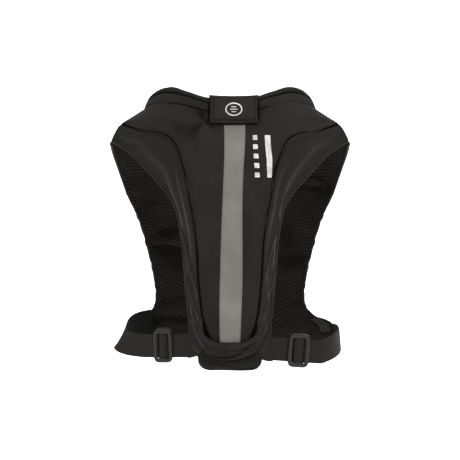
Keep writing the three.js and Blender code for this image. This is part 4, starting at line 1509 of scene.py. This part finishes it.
@dataclass
class FrontSide:
    """One shoulder's front half and the front panel that swings from it."""

    side: Side
    bend_start: tuple[float, float, float] = (0.176, 0.086, -0.030)
    bend_end: tuple[float, float, float] = (0.152, 0.154, -0.098)

    @property
    def body(self) -> str:
        """The body that the front panel rides on."""
        return f"front_{self.side.word}"

    def blended(self, obj: bpy.types.Object, finish: Finish, nodes: Sequence[str] = ()) -> None:
        """Finishes a piece that lies over the bend from the back to the front panel, on no body, with its
        placement baked into its mesh.
        """
        finish_piece(obj, finish, None, nodes)
        self.body
        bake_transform(obj)

    def shoulder(self) -> None:
        """Ripstop by the neck, satin by the armhole and mesh below, over the bend."""
        s, word = self.side.value, self.side.word
        ripple = lambda u, v, p: 1.2 * MM * ripples(p, (0.05, 0.06, 0.05), 81) * smooth(v, 0, 0.15)
        inner = strip(BRIDGE_NECK, BRIDGE_CREST, s)
        outer = strip(BRIDGE_CREST, BRIDGE_EDGE, s)
        lap = lambda v: 1.6 * MM * smooth(v, 0.7, 0.9)
        rolled = lambda u, v, p: ripple(u, v, p) + lap(v) - 1.6 * MM * (
            np.exp(-((u / 0.06) ** 2)) + np.exp(-(((1 - u) / 0.06) ** 2))
        )
        self.blended(
            cloth(f"shoulder_cloth_{word}", inner, (40, 70), (0, 0.5, 1), 1.6 * MM, rolled), RIPSTOP,
            [f"shoulder_bridge_{word}"],
        )
        self.blended(
            cloth(f"shoulder_gusset_{word}", outer, (30, 70), (s, 0.5, 1), 1.6 * MM, rolled), SATIN
        )
        under = between(BRIDGE_NECK, BRIDGE_CREST, BRIDGE_EDGE, s)
        self.blended(
            cloth(
                f"shoulder_mesh_{word}", under, (60, 90), (0, -0.5, -1), 1.2 * MM, dimples(under), 5.4 * MM
            ),
            LINING,
        )
        for name, rail in (("neck", BRIDGE_NECK), ("arm", BRIDGE_EDGE)):
            line = lambda v, r=rail: mirrored(r.at(v), s) + np.array([0, -1.5 * MM, -2.6 * MM])
            lean = lambda v: mirrored(BRIDGE_EDGE.at(v) - BRIDGE_NECK.at(v), s)
            self.blended(
                swept(
                    f"shoulder_binding_{name}_{word}", line, (2.6 * MM, 3.6 * MM), lean, (12, 60),
                    BINDING_SQUARE,
                ),
                SATIN,
            )

    def panel(self) -> None:
        """The ripstop front panel, its mesh lining, its bound edges and its princess seam."""
        s, word = self.side.value, self.side.word
        whole = between(FRONT_EDGE, FRONT_MIDDLE, FRONT_ARMHOLE, s)
        surface = lambda u, v: whole(u, LAP_SHARE + (1 - LAP_SHARE) * v)
        soft = lambda u, v, p: 1.1 * MM * ripples(p, (0.08, 0.1, 0.09), 91) * smooth(
            np.minimum(u, 1 - u), 0, 0.12
        )
        obj = cloth(f"front_cloth_{word}", surface, (60, 130), (0, 1, 0), 1.5 * MM, soft)
        finish_piece(obj, RIPSTOP, self.body, [f"front_panel_{word}"])
        mesh = cloth(
            f"front_mesh_{word}", surface, (110, 200), (0, -1, 0), 1.5 * MM, self.lining(surface), 6.6 * MM
        )
        finish_piece(mesh, LINING, self.body, [f"front_lining_{word}"])
        inward = lambda v: mirrored(FRONT_MIDDLE.at(v) - FRONT_ARMHOLE.at(v), s)
        middle = lambda v: np.array([0, -3.0 * MM, 0])
        arm = lambda v: mirrored(FRONT_ARMHOLE.at(LAP_SHARE + (1 - LAP_SHARE) * v), s) + middle(v)
        finish_piece(
            swept(f"front_arm_binding_{word}", arm, BINDING_HALF, inward, (12, 170), BINDING_SQUARE), SATIN,
            self.body,
        )
        neck = lambda v: mirrored(FRONT_EDGE.at(LAP_SHARE + (0.5 - LAP_SHARE) * v), s) + middle(v)
        finish_piece(
            swept(f"neckline_binding_{word}", neck, BINDING_HALF, inward, (12, 100), BINDING_SQUARE), SATIN,
            self.body,
        )
        hem_surface = lambda v: surface(v, np.ones_like(v)) + middle(v)
        finish_piece(
            swept(
                f"front_hem_binding_{word}", hem_surface, BINDING_HALF,
                always(0, 0, 1), (12, 80), BINDING_SQUARE,
            ),
            SATIN, self.body,
        )
        for name, u in (("arm", 0.93), ("middle", 0.5)):
            row = seam_row(
                f"front_stitches_{name}_{word}", surface, (0, 1, 0), lambda v, u=u: np.full_like(v, u),
                (0.01, 0.98), soft, 0.1 * MM,
            )
            finish_piece(row, THREAD, self.body)

    def lining(self, surface: Surface) -> Relief:
        """The lining's pressed cells and the soft hollows where it hangs away from the panel."""
        cells = dimples(surface)

        def relief(u: np.ndarray, v: np.ndarray, points: np.ndarray) -> np.ndarray:
            """Pressed cells, and hollows where the lining hangs in folds."""
            hang = 1.6 * MM * np.sin(9 * v + 3 * u) * bump(v, 0.45, 0.25)
            for level, slope, spread, depth in LINING_FOLDS[self.side]:
                off = (points[:, 2] - (level + slope * (u - 0.6)) * MM) / (spread * MM)
                hang += depth * MM * (0.8 * np.exp(-((off - 1.6) ** 2)) - 0.4 * np.exp(-(off**2)))
            return np.maximum(cells(u, v, points) + hang * smooth(np.minimum(u, 1 - u), 0, 0.12), -2.2 * MM)

        return relief

    def zip(self) -> None:
        """The front zip's tape and its moulded teeth."""
        word = self.side.word
        low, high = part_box(f"zip_tape_{word}")
        chain_low, chain_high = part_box(f"zip_chain_{word}")

        def tape(u: np.ndarray, v: np.ndarray) -> np.ndarray:
            """The flat tape beside the chain."""
            x = low.x + (high.x - low.x) * u
            y = (low.y + 0.5 * MM) + (high.y - low.y - 1.0 * MM) * v
            return np.stack([x, y, low.z + (high.z - low.z) * v], 1)

        obj = cloth(f"zip_tape_cloth_{word}", tape, (6, 60), (0, 1, 0), 0.8 * MM, None, 0.4 * MM)
        finish_piece(obj, TAPE, self.body, [f"zip_tape_{word}"])
        work = bmesh.new()
        count = int((chain_high.z - chain_low.z) / (2.6 * MM))
        for index in range(count):
            share = (index + 0.5) / count
            z = chain_low.z + (chain_high.z - chain_low.z) * share
            y = chain_low.y + 1.1 * MM + (chain_high.y - chain_low.y - 2.2 * MM) * share
            place = Matrix.Translation(
                ((chain_low.x + chain_high.x) / 2, y, z)
            ) @ Matrix.Diagonal((2.0 * MM, 2.0 * MM, 1.5 * MM, 1))
            add_block(work, place, 0.35 * MM, 1)
        finish_piece(new_object(f"zip_teeth_{word}", work), COIL, self.body, [f"zip_chain_{word}"])


# ---------------------------------------------------------------- tail


@dataclass
class Tail:
    """The pouch under the pod, the hem flap over its mouth and the wrapped gusset ends."""

    half_width: float = 55 * MM

    def pouch(self) -> None:
        """A soft scooped pouch."""
        low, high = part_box("tail_pouch")

        def surface(u: np.ndarray, v: np.ndarray) -> np.ndarray:
            """The scooped bag, from its back rim under and up to its front rim."""
            turn = math.pi * v
            drop = np.sin(turn)
            across = 2 * u - 1
            half = self.half_width * (0.985 - 0.07 * drop**3)
            middle, depth = (high.y + low.y) / 2, (high.y - low.y) / 2 * (1 - 0.5 * across**4)
            sag = 1 - 0.24 * across**8
            rim = 5 * MM * np.cos(turn) ** 2 * (1 - 2.2 * across**4)
            z = high.z + rim - (high.z - low.z) * drop * sag
            return np.stack([across * half, middle - depth * np.cos(turn), z], 1)

        relief = lambda u, v, p: (
            1.0 * MM * ripples(p, (0.05, 0.02, 0.014), 13) + 1.6 * MM * np.sin(11 * v + 4 * (u - 0.5) ** 2)
        ) * smooth(np.minimum(u, 1 - u), 0, 0.1)
        obj = cloth("tail_pouch_cloth", surface, (80, 70), (0, -0.4, -1), 1.6 * MM, relief)
        finish_piece(obj, JERSEY, "back", ["tail_pouch"])
        backing = lambda u, v: np.stack(
            [(2 * u - 1) * (50 + 9 * v) * MM, np.full_like(u, 2.4 * MM), (-424 + 34 * v) * MM], 1
        )
        soft = lambda u, v, p: 0.5 * MM * ripples(p, (0.04, 0.1, 0.02), 23)
        obj = cloth("tail_backing_cloth", backing, (40, 20), (0, 1, 0), 1.0 * MM, soft)
        finish_piece(obj, JERSEY, "back")

    def hem_roll(self) -> None:
        """The folded hem that dips under the stripe between the princess seams."""
        rail = Rail(
            [
                (-50, -30, -367), (-45, -35, -383), (-27, -37, -395.5), (0, -37.5, -400), (27, -37, -395.5),
                (45, -35, -383), (50, -30, -367),
            ]
        )
        lean = always(0, 0, 1)
        obj = swept("hem_roll", rail.at, (4.6 * MM, 2.2 * MM), lean, (16, 120), BINDING_SQUARE)
        finish_piece(obj, RIPSTOP, "back")

    def flap(self) -> None:
        """The hem flap: a curved double band that lifts at its top edge."""
        low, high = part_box("tail_flap")

        def surface(u: np.ndarray, v: np.ndarray) -> np.ndarray:
            """The curved band, deepest at its middle."""
            across = 2 * u - 1
            height = (high.z - low.z) * (0.62 + 0.52 * np.sqrt(1 - 0.95 * across**2))
            y = low.y + 0.8 * MM + 3 * MM * across**2
            return np.stack([across * high.x * (0.9 + 0.1 * v), y, high.z - height * (1 - v)], 1)

        def relief(u: np.ndarray, v: np.ndarray, points: np.ndarray) -> np.ndarray:
            """The rolled edge, the crease along the band and soft waves."""
            edge = np.minimum(np.minimum(u, 1 - u) * 2 * high.x, np.minimum(v, 1 - v) * (high.z - low.z))
            roll = -1.4 * MM * np.exp(-((edge / (1.8 * MM)) ** 2))
            return roll - 0.8 * MM * bump(v, 0.52, 0.07) + 0.8 * MM * ripples(
                points, (0.03, 0.1, 0.02), 17
            ) * smooth(edge, 0, 6 * MM)

        obj = cloth("hem_flap_cloth", surface, (80, 26), (0, -1, 0), 2.0 * MM, relief)
        finish_piece(obj, RIPSTOP, "tail_flap", ["tail_flap"])
        face = lambda x: low.y / MM - 0.9 + 3 * (x / 46) ** 2
        upper = Rail(
            [
                (x, face(x), z)
                for x, z in (
                    (42, -392.5), (34, -397), (23, -406.5), (8, -415.5), (-14, -419.5), (-34, -415.5)
                )
            ]
        )
        lower = Rail(
            [
                (x, face(x), z)
                for x, z in ((45, -408), (33, -415), (14, -421), (-2, -423), (-18, -422), (-35, -417))
            ]
        )
        crease = lambda u, v, p: 1.2 * MM * np.sin(math.pi * u) ** 0.7 * (1 - 0.6 * v) + 0.5 * MM * ripples(
            p, (0.02, 0.05, 0.01), 21
        )
        lap = cloth("hem_cross_band", strip(upper, lower, 1), (24, 60), (0, -1, 0), 1.2 * MM, crease)
        finish_piece(lap, SATIN, "tail_flap")
        # painted shadow: near-black strands along both edges of the cross band
        for name, rail in (("upper", upper), ("lower", lower)):
            sunk = lambda v, r=rail: r.at(v) + np.array([0, 0.3 * MM, -0.2 * MM])
            shadow_strip = swept(
                f"hem_cross_shadow_{name}", sunk, (0.9 * MM, 0.8 * MM),
                always(0, 1, 0), (8, 60),
            )
            finish_piece(shadow_strip, SHADOW_AND_TAPE_BLACK, "tail_flap")
        row = seam_row(
            "hem_flap_stitches", lambda u, v: surface(v, u), (0, -1, 0), lambda v: np.full_like(v, 0.18),
            (0.03, 0.97), lambda u, v, p: relief(v, u, p),
        )
        finish_piece(row, THREAD, "tail_flap")

    def gusset_ends(self) -> None:
        """Satin ends that wrap from the gussets under the flap and out to the straps."""
        for side in Side:
            s = side.value
            inner = Rail([(46, -32, -352), (45, -34, -376), (38, -34.5, -398), (20, -34, -413)])
            outer = Rail([(70, 0, -352), (69, -3, -380), (64, -8, -404), (50, -12, -424)])
            surface = strip(inner, outer, s)
            relief = lambda u, v, p: (
                1.7 * MM * np.cos(TAU * (1.5 * u + 1.3 * v)) - 0.2 * MM
            ) * smooth(np.minimum(u, 1 - u), 0, 0.2) * np.sin(math.pi * np.clip(v, 0, 1)) ** 0.5
            obj = cloth(
                f"gusset_end_{side.word}", surface, (34, 50), (s, -1, 0), 1.5 * MM, relief, 1.0 * MM
            )
            finish_piece(obj, SATIN, "back")
            top = Rail([(56, -16, -372), (64, -8, -379), (72, -5.2, -384.5)])
            foot = Rail([(44, -18, -418), (60, -10, -425.5), (72, -6.4, -427)])
            if side is Side.LEFT:
                top = Rail([(56, -16, -372), (64, -6, -378), (71, -2.2, -381)])
                foot = Rail([(44, -18, -412), (60, -8, -419), (71, -2.8, -421.5)])
            wing = lambda u, v, a=top, b=foot: mirrored(
                b.at(v) * (1 - u)[:, None] + a.at(v) * u[:, None], s
            )
            crease = lambda u, v, p: 1.8 * MM * np.sin(math.pi * u) * (1 - v) + 0.8 * MM * ripples(
                p, (0.02, 0.03, 0.012), 19
            )
            obj = cloth(f"strap_wing_{side.word}", wing, (30, 30), (0, -1, 0), 2.4 * MM, crease, 1.4 * MM)
            finish_piece(obj, SATIN, "back")


# ---------------------------------------------------------------- side straps


@dataclass
class SideStrap:
    """One side strap with its sliding adjuster and its sewn end on the front panel."""

    side: Side
    start: tuple[float, float, float]
    finish: tuple[float, float, float]
    adjuster_at: float
    lean: float
    rise: float

    def run(self, share: np.ndarray) -> np.ndarray:
        """Places along the strap's middle, straight at first and then round to the hinge line."""
        s = self.side.value
        start, end = np.array(self.start) * MM, np.array(self.finish) * MM
        knee = np.array([s * 187, self.finish[1] + 12, -402]) * MM
        bend = np.array([s * 191, 62, -394]) * MM
        t = np.clip(share / 0.6, 0, 1)[:, None]
        w = np.clip((share - 0.6) / 0.4, 0, 1)[:, None]
        straight = start + (end - start) * t
        curve = end * (1 - w) ** 2 + knee * 2 * w * (1 - w) + bend * w**2
        return np.where(share[:, None] <= 0.6, straight, curve)

    def ribbon(
        self, name: str, line: Callable[[np.ndarray], np.ndarray], cells: int,
        tilt: Callable[[np.ndarray], np.ndarray], half: float = 20 * MM, thick: float = 0.85 * MM,
    ) -> bpy.types.Object:
        """A length of webbing that stands on edge.

        Args:
            name: The piece's name.
            line: Its middle line.
            cells: Cells along it.
            tilt: How far its foot stands out sideways, in metres, for each share.
            half: Half its width.
            thick: Half its thickness.

        Returns:
            The piece.
        """

        def across(v: np.ndarray) -> np.ndarray:
            """From the webbing's foot to its upper edge."""
            out = tilt(v)
            return np.stack([-self.side.value * out, np.zeros_like(v), np.full_like(v, 2 * half)], 1)

        return swept(name, line, (half, thick), across, (28, cells), WEBBING_SQUARE)

    def build(self) -> None:
        """The strap, the adjuster with its webbing hump, the return and the anchor."""
        s, word = self.side.value, self.side.word
        tilt = lambda v: self.lean * MM * smooth(v, 0.6, 1.0)
        finish_piece(
            self.ribbon(f"strap_webbing_{word}", self.run, 90, tilt), STRAP, "back",
            [f"side_strap_{word}"],
        )
        rise = self.rise
        back = Rail([
            (s * 191, 70, -394), (s * (192.5 - 0.3 * rise), 95, -394 + 0.55 * rise),
            (s * (191 - 0.9 * rise), 122, -394 + rise),
            (s * (188 - 2.1 * rise), 141 + 0.75 * rise, -394 + 1.25 * rise),
        ])
        lean = lambda v: self.lean * MM * (1 - 0.7 * v)
        # the return wears the darker copy of the webbing: painted shade inside the loop
        finish_piece(
            self.ribbon(f"strap_return_webbing_{word}", back.at, 50, lean), STRAP_PAINTED_SHADE,
            f"front_{word}", [f"strap_return_{word}"],
        )
        near, far = self.run(np.array([0.955, 1.0])), back.at(np.array([0.0, 0.09]))
        joint = Rail(
            [tuple(point / MM) for point in (near[0], near[1], (near[1] + far[0]) / 2, far[0], far[1])]
        )
        link = self.ribbon(
            f"strap_fold_{word}", joint.at, 40, lambda v: self.lean * MM * np.ones_like(v), 20.1 * MM,
            1.25 * MM,
        )
        finish_piece(link, STRAP, None)
        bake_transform(link)
        surface = between(FRONT_EDGE, FRONT_MIDDLE, FRONT_ARMHOLE, s)
        if self.side is Side.RIGHT:
            patch = lambda u, v: surface(0.872 + 0.08 * u + 0.046 * v, 0.80 + 0.12 * v)
        else:
            patch = lambda u, v: surface(0.62 + 0.13 * u, 0.87 + 0.105 * v)
        obj = cloth(
            f"anchor_patch_{word}", patch, (24, 20), (0, -1, 0), 1.6 * MM,
            lambda u, v, p: 0.3 * MM * np.sin(40 * u), 8.2 * MM,
        )
        finish_piece(obj, GREY_WEBBING, f"front_{word}", [f"strap_anchor_{word}"])
        self.adjuster()

    def adjuster(self) -> None:
        """A three-bar slide: a rounded ring in front of the webbing and a bar behind it."""
        s, word = self.side.value, self.side.word
        start, end = np.array(self.start) * MM, np.array(self.finish) * MM
        centre = start + (end - start) * self.adjuster_at
        ahead = Vector((end - start) * s).normalized()
        up = (Vector((0, 0, 1)) - ahead * ahead.z).normalized()
        out = ahead.cross(up)
        turn = Matrix((ahead, up, ahead.cross(up))).transposed().to_4x4()
        turn.translation = Vector(centre)
        half_x, half_z, front = 15.0 * MM, 25.2 * MM, 3.5 * MM
        outer = -1.0 if out.y > 0 else 1.0

        def ring(v: np.ndarray) -> np.ndarray:
            """The middle of the frame's bar, round the opening."""
            angle = TAU * v
            c, q = np.cos(angle), np.sin(angle)
            x = half_x * np.sign(c) * np.abs(c) ** 0.32
            z = half_z * np.sign(q) * np.abs(q) ** 0.26
            return np.stack([x, z, np.full_like(v, outer * front)], 1)

        work = bmesh.new()
        bmesh.ops.create_grid(work, x_segments=16, y_segments=96, size=0.5)
        for vert in work.verts:
            angle, share = TAU * (vert.co.x + 0.5), np.array([vert.co.y + 0.5])
            spot = ring(share)[0]
            onward = ring(share + 0.002)[0] - ring(share - 0.002)[0]
            side = np.array([onward[1], -onward[0], 0])
            side /= max(np.linalg.norm(side), 1e-9)
            c, q = math.cos(angle), math.sin(angle)
            wide = 3.5 * MM * math.copysign(abs(c) ** 0.7, c)
            deep = 1.9 * MM * math.copysign(abs(q) ** 0.7, q)
            vert.co = spot + side * wide + np.array([0, 0, deep])
        bmesh.ops.remove_doubles(work, verts=work.verts[:], dist=0.02 * MM)
        bar_size, post_size = (6 * MM, 52 * MM, 3.2 * MM, 1), (7.5 * MM, 4.4 * MM, 9.0 * MM, 1)
        bar = Matrix.Translation((0, 0, -outer * 3.4 * MM)) @ Matrix.Diagonal(bar_size)
        posts = [
            Matrix.Translation((0, sign * 24.6 * MM, 0)) @ Matrix.Diagonal(post_size) for sign in (-1, 1)
        ]
        for place in (bar, *posts):
            add_block(work, place, 1.2 * MM, 3)
        bmesh.ops.recalc_face_normals(work, faces=work.faces[:])
        bmesh.ops.transform(work, matrix=turn, verts=work.verts[:])
        obj = new_object(f"adjuster_frame_{word}", work)
        finish_piece(obj, NYLON, f"adjuster_{word}", [f"strap_adjuster_{word}"])

        def placed(x: np.ndarray, lift: np.ndarray) -> np.ndarray:
            """Places along the webbing and above it, turned to where the adjuster is."""
            local = np.stack([x, np.zeros_like(x), lift], 1)
            return local @ np.array(turn.to_3x3()).T + np.array(turn.translation)

        def hump(v: np.ndarray) -> np.ndarray:
            """The webbing that rises over the middle bar."""
            x = (2 * v - 1) * 9.0 * MM
            lift = outer * (1.3 * MM + 2.9 * MM * np.cos(math.pi * (v - 0.5)) ** 1.5)
            return placed(x, lift)

        def keeper(v: np.ndarray) -> np.ndarray:
            """The second layer of webbing, which ends in the frame."""
            x = s * (9.5 + 11.0 * v) * MM
            lift = outer * (1.9 + 1.6 * np.exp(-((v / 0.3) ** 2))) * MM
            return placed(x, lift)

        upright = always(*up)
        layer = swept(
            f"adjuster_keeper_{word}", keeper, (20.4 * MM, 0.85 * MM), upright, (28, 24), WEBBING_SQUARE
        )
        finish_piece(layer, STRAP, f"adjuster_{word}")

        def recess(v: np.ndarray) -> np.ndarray:
            """The line of a near-black strip in the opening behind the webbing: painted shadow."""
            return placed((2 * v - 1) * 13.0 * MM, np.full_like(v, outer * 1.5 * MM))

        # painted shadow in the opening, where the loops would shade it
        gap = swept(f"adjuster_recess_{word}", recess, (24.0 * MM, 0.3 * MM), upright, (12, 8), 0.4)
        finish_piece(gap, SHADOW_AND_TAPE_BLACK, f"adjuster_{word}")
        over = swept(
            f"adjuster_webbing_{word}", hump, (22.6 * MM, 0.9 * MM), upright, (28, 30), WEBBING_SQUARE
        )
        finish_piece(over, STRAP, f"adjuster_{word}")


# ---------------------------------------------------------------- metalwork and the inside


@dataclass
class Hardware:
    """Small hard pieces: the front zip's slider and pull, and what is inside the pod."""

    def build(self) -> None:
        """Rounds the pull, and dresses the slider and the inner pieces."""
        low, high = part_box("zip_pull")
        obj = rounded_block("pull_tag", low, high, 0.6 * MM)
        finish_piece(obj, GUNMETAL, "zip_pull", ["zip_pull"])
        for node, finish in {
            "zip_slider": GUNMETAL, "gas_cylinder": STEEL, "firing_pin": STEEL, "relief_poppet": STEEL,
            "inflator_body": NYLON, "relief_valve": NYLON, "folded_bladder": FILM, "trigger_key": SIGNAL,
            "collar_loop_tape": TAPE, "tab_hook_tape": TAPE, "flap_hook_tape": TAPE,
        }.items():
            dress_node(node, finish)


# ---------------------------------------------------------------- studio


@dataclass
class Studio:
    """A plain pale room: the camera, the soft lights and the floor."""

    distance: float = 2.4
    view_width: float = 0.782
    eye_height: float = -0.204
    floor_height: float = -0.62
    surroundings: float = 0.36

    def camera(self) -> None:
        """Looks at the vest's back from straight behind."""
        data = bpy.data.cameras.new("studio_camera")
        data.sensor_width = 36
        data.lens = 36 * self.distance / self.view_width
        camera = bpy.data.objects.new("studio_camera", data)
        camera.location = (0, -self.distance, self.eye_height)
        camera.rotation_euler = (math.radians(90), 0, 0)
        bpy.context.scene.collection.objects.link(camera)
        bpy.context.scene.camera = camera

    def lamp(self, name: str, place: Sequence[float], size: float, power: float) -> None:
        """A square soft light that looks at the vest's middle."""
        data = bpy.data.lights.new(name, "AREA")
        data.size, data.energy = size, power
        lamp = bpy.data.objects.new(name, data)
        lamp.location = place
        aim = Vector((0, 0.05, -0.2)) - Vector(place)
        lamp.rotation_euler = aim.to_track_quat("-Z", "Y").to_euler()
        bpy.context.scene.collection.objects.link(lamp)

    def glowing(self, obj: bpy.types.Object, name: str, strength: float) -> bpy.types.Node:
        """Gives part of the room a matt material that glows, and returns its shader."""
        material = bpy.data.materials.new(name)
        material.use_nodes = True
        shader = material.node_tree.nodes["Principled BSDF"]
        shader.inputs["Roughness"].default_value = 0.9
        shader.inputs["Emission Color"].default_value = (1, 1, 1, 1)
        shader.inputs["Emission Strength"].default_value = strength
        obj.data.materials.append(material)
        return shader

    def room(self) -> None:
        """The floor, the backdrop, the pale surroundings and four soft lights."""
        work = bmesh.new()
        bmesh.ops.create_grid(
            work, x_segments=1, y_segments=1, size=14, matrix=Matrix.Translation((0, 0, self.floor_height))
        )
        floor = new_object("floor", work)
        shader = self.glowing(floor, "pale_floor", 0.6)
        shader.inputs["Base Color"].default_value = (0.9, 0.9, 0.9, 1)
        work = bmesh.new()
        upright = Matrix.Translation((0, 3.4, 1.0)) @ Matrix.Rotation(math.radians(90), 4, "X")
        bmesh.ops.create_grid(work, x_segments=1, y_segments=1, size=3.2, matrix=upright)
        backdrop = new_object("backdrop", work)
        self.glowing(backdrop, "white_backdrop", 1.0)
        world = bpy.data.worlds.new("pale_room")
        world.use_nodes = True
        sky = world.node_tree.nodes["Background"]
        sky.inputs["Color"].default_value = (1, 1, 1, 1)
        sky.inputs["Strength"].default_value = self.surroundings
        bpy.context.scene.world = world
        bpy.context.scene.view_settings.view_transform = "Standard"
        self.lamp("key_light", (1.6, -1.4, 1.45), 1.1, 33)
        self.lamp("fill_light", (-1.7, -1.4, 1.1), 1.1, 15)
        self.lamp("top_light", (0, -0.45, 1.6), 1.0, 15)
        self.lamp("chest_light", (0, 2.0, 0.6), 1.4, 10)


def declare_sheets() -> None:
    """Logs the flat cut of each sewn cloth panel, listed with the pieces that it is sewn to."""
    sewn = {
        "back_cover_cloth": ["gusset_cloth_left", "gusset_cloth_right"],
        "back_liner_mesh": ["armhole_binding_left", "armhole_binding_right"],
        "tail_pouch_cloth": ["back_cover_cloth"],
        "tail_backing_cloth": ["back_liner_mesh", "tail_pouch_cloth"],
        "hem_flap_cloth": ["hem_roll"],
    }
    for side in Side:
        word = side.word
        sewn[f"gusset_cloth_{word}"] = ["back_cover_cloth", f"armhole_binding_{word}"]
        sewn[f"shoulder_cloth_{word}"] = ["back_cover_cloth", f"shoulder_gusset_{word}"]
        sewn[f"shoulder_gusset_{word}"] = [f"gusset_cloth_{word}", f"shoulder_cloth_{word}"]
        sewn[f"shoulder_mesh_{word}"] = ["back_liner_mesh", f"front_mesh_{word}"]
        sewn[f"front_cloth_{word}"] = [f"front_arm_binding_{word}", f"neckline_binding_{word}"]
        sewn[f"front_mesh_{word}"] = [f"front_arm_binding_{word}", f"neckline_binding_{word}"]
    for name, holders in sewn.items():
        CUTS[name].declare(bpy.data.objects[name], holders)


def main() -> None:
    """Builds the vest, piece by piece, round the frame."""
    logging.basicConfig(level=logging.INFO, format="%(message)s")
    studio = Studio()
    studio.camera()
    studio.room()
    GROUPS.update(woven_yarns=weave_group(), cloth_lint=lint_group(), mesh_cells=net_group())
    pod = BackPod()
    pod.cover()
    pod.seams()
    pod.stripe()
    pod.prints()
    pod.gussets()
    pod.body_side()
    collar = Collar()
    collar.bands()
    collar.tab()
    for side in Side:
        front = FrontSide(side)
        front.shoulder()
        front.panel()
        front.zip()
    tail = Tail()
    tail.pouch()
    tail.hem_roll()
    tail.flap()
    tail.gusset_ends()
    SideStrap(Side.LEFT, (-60, -7, -400), (-146, 38, -404), 0.62, 22, 22).build()
    SideStrap(Side.RIGHT, (60, -8, -404), (154, 8, -412), 0.6, 3, 2).build()
    Hardware().build()
    declare_sheets()


if __name__ == "__main__":
    main()
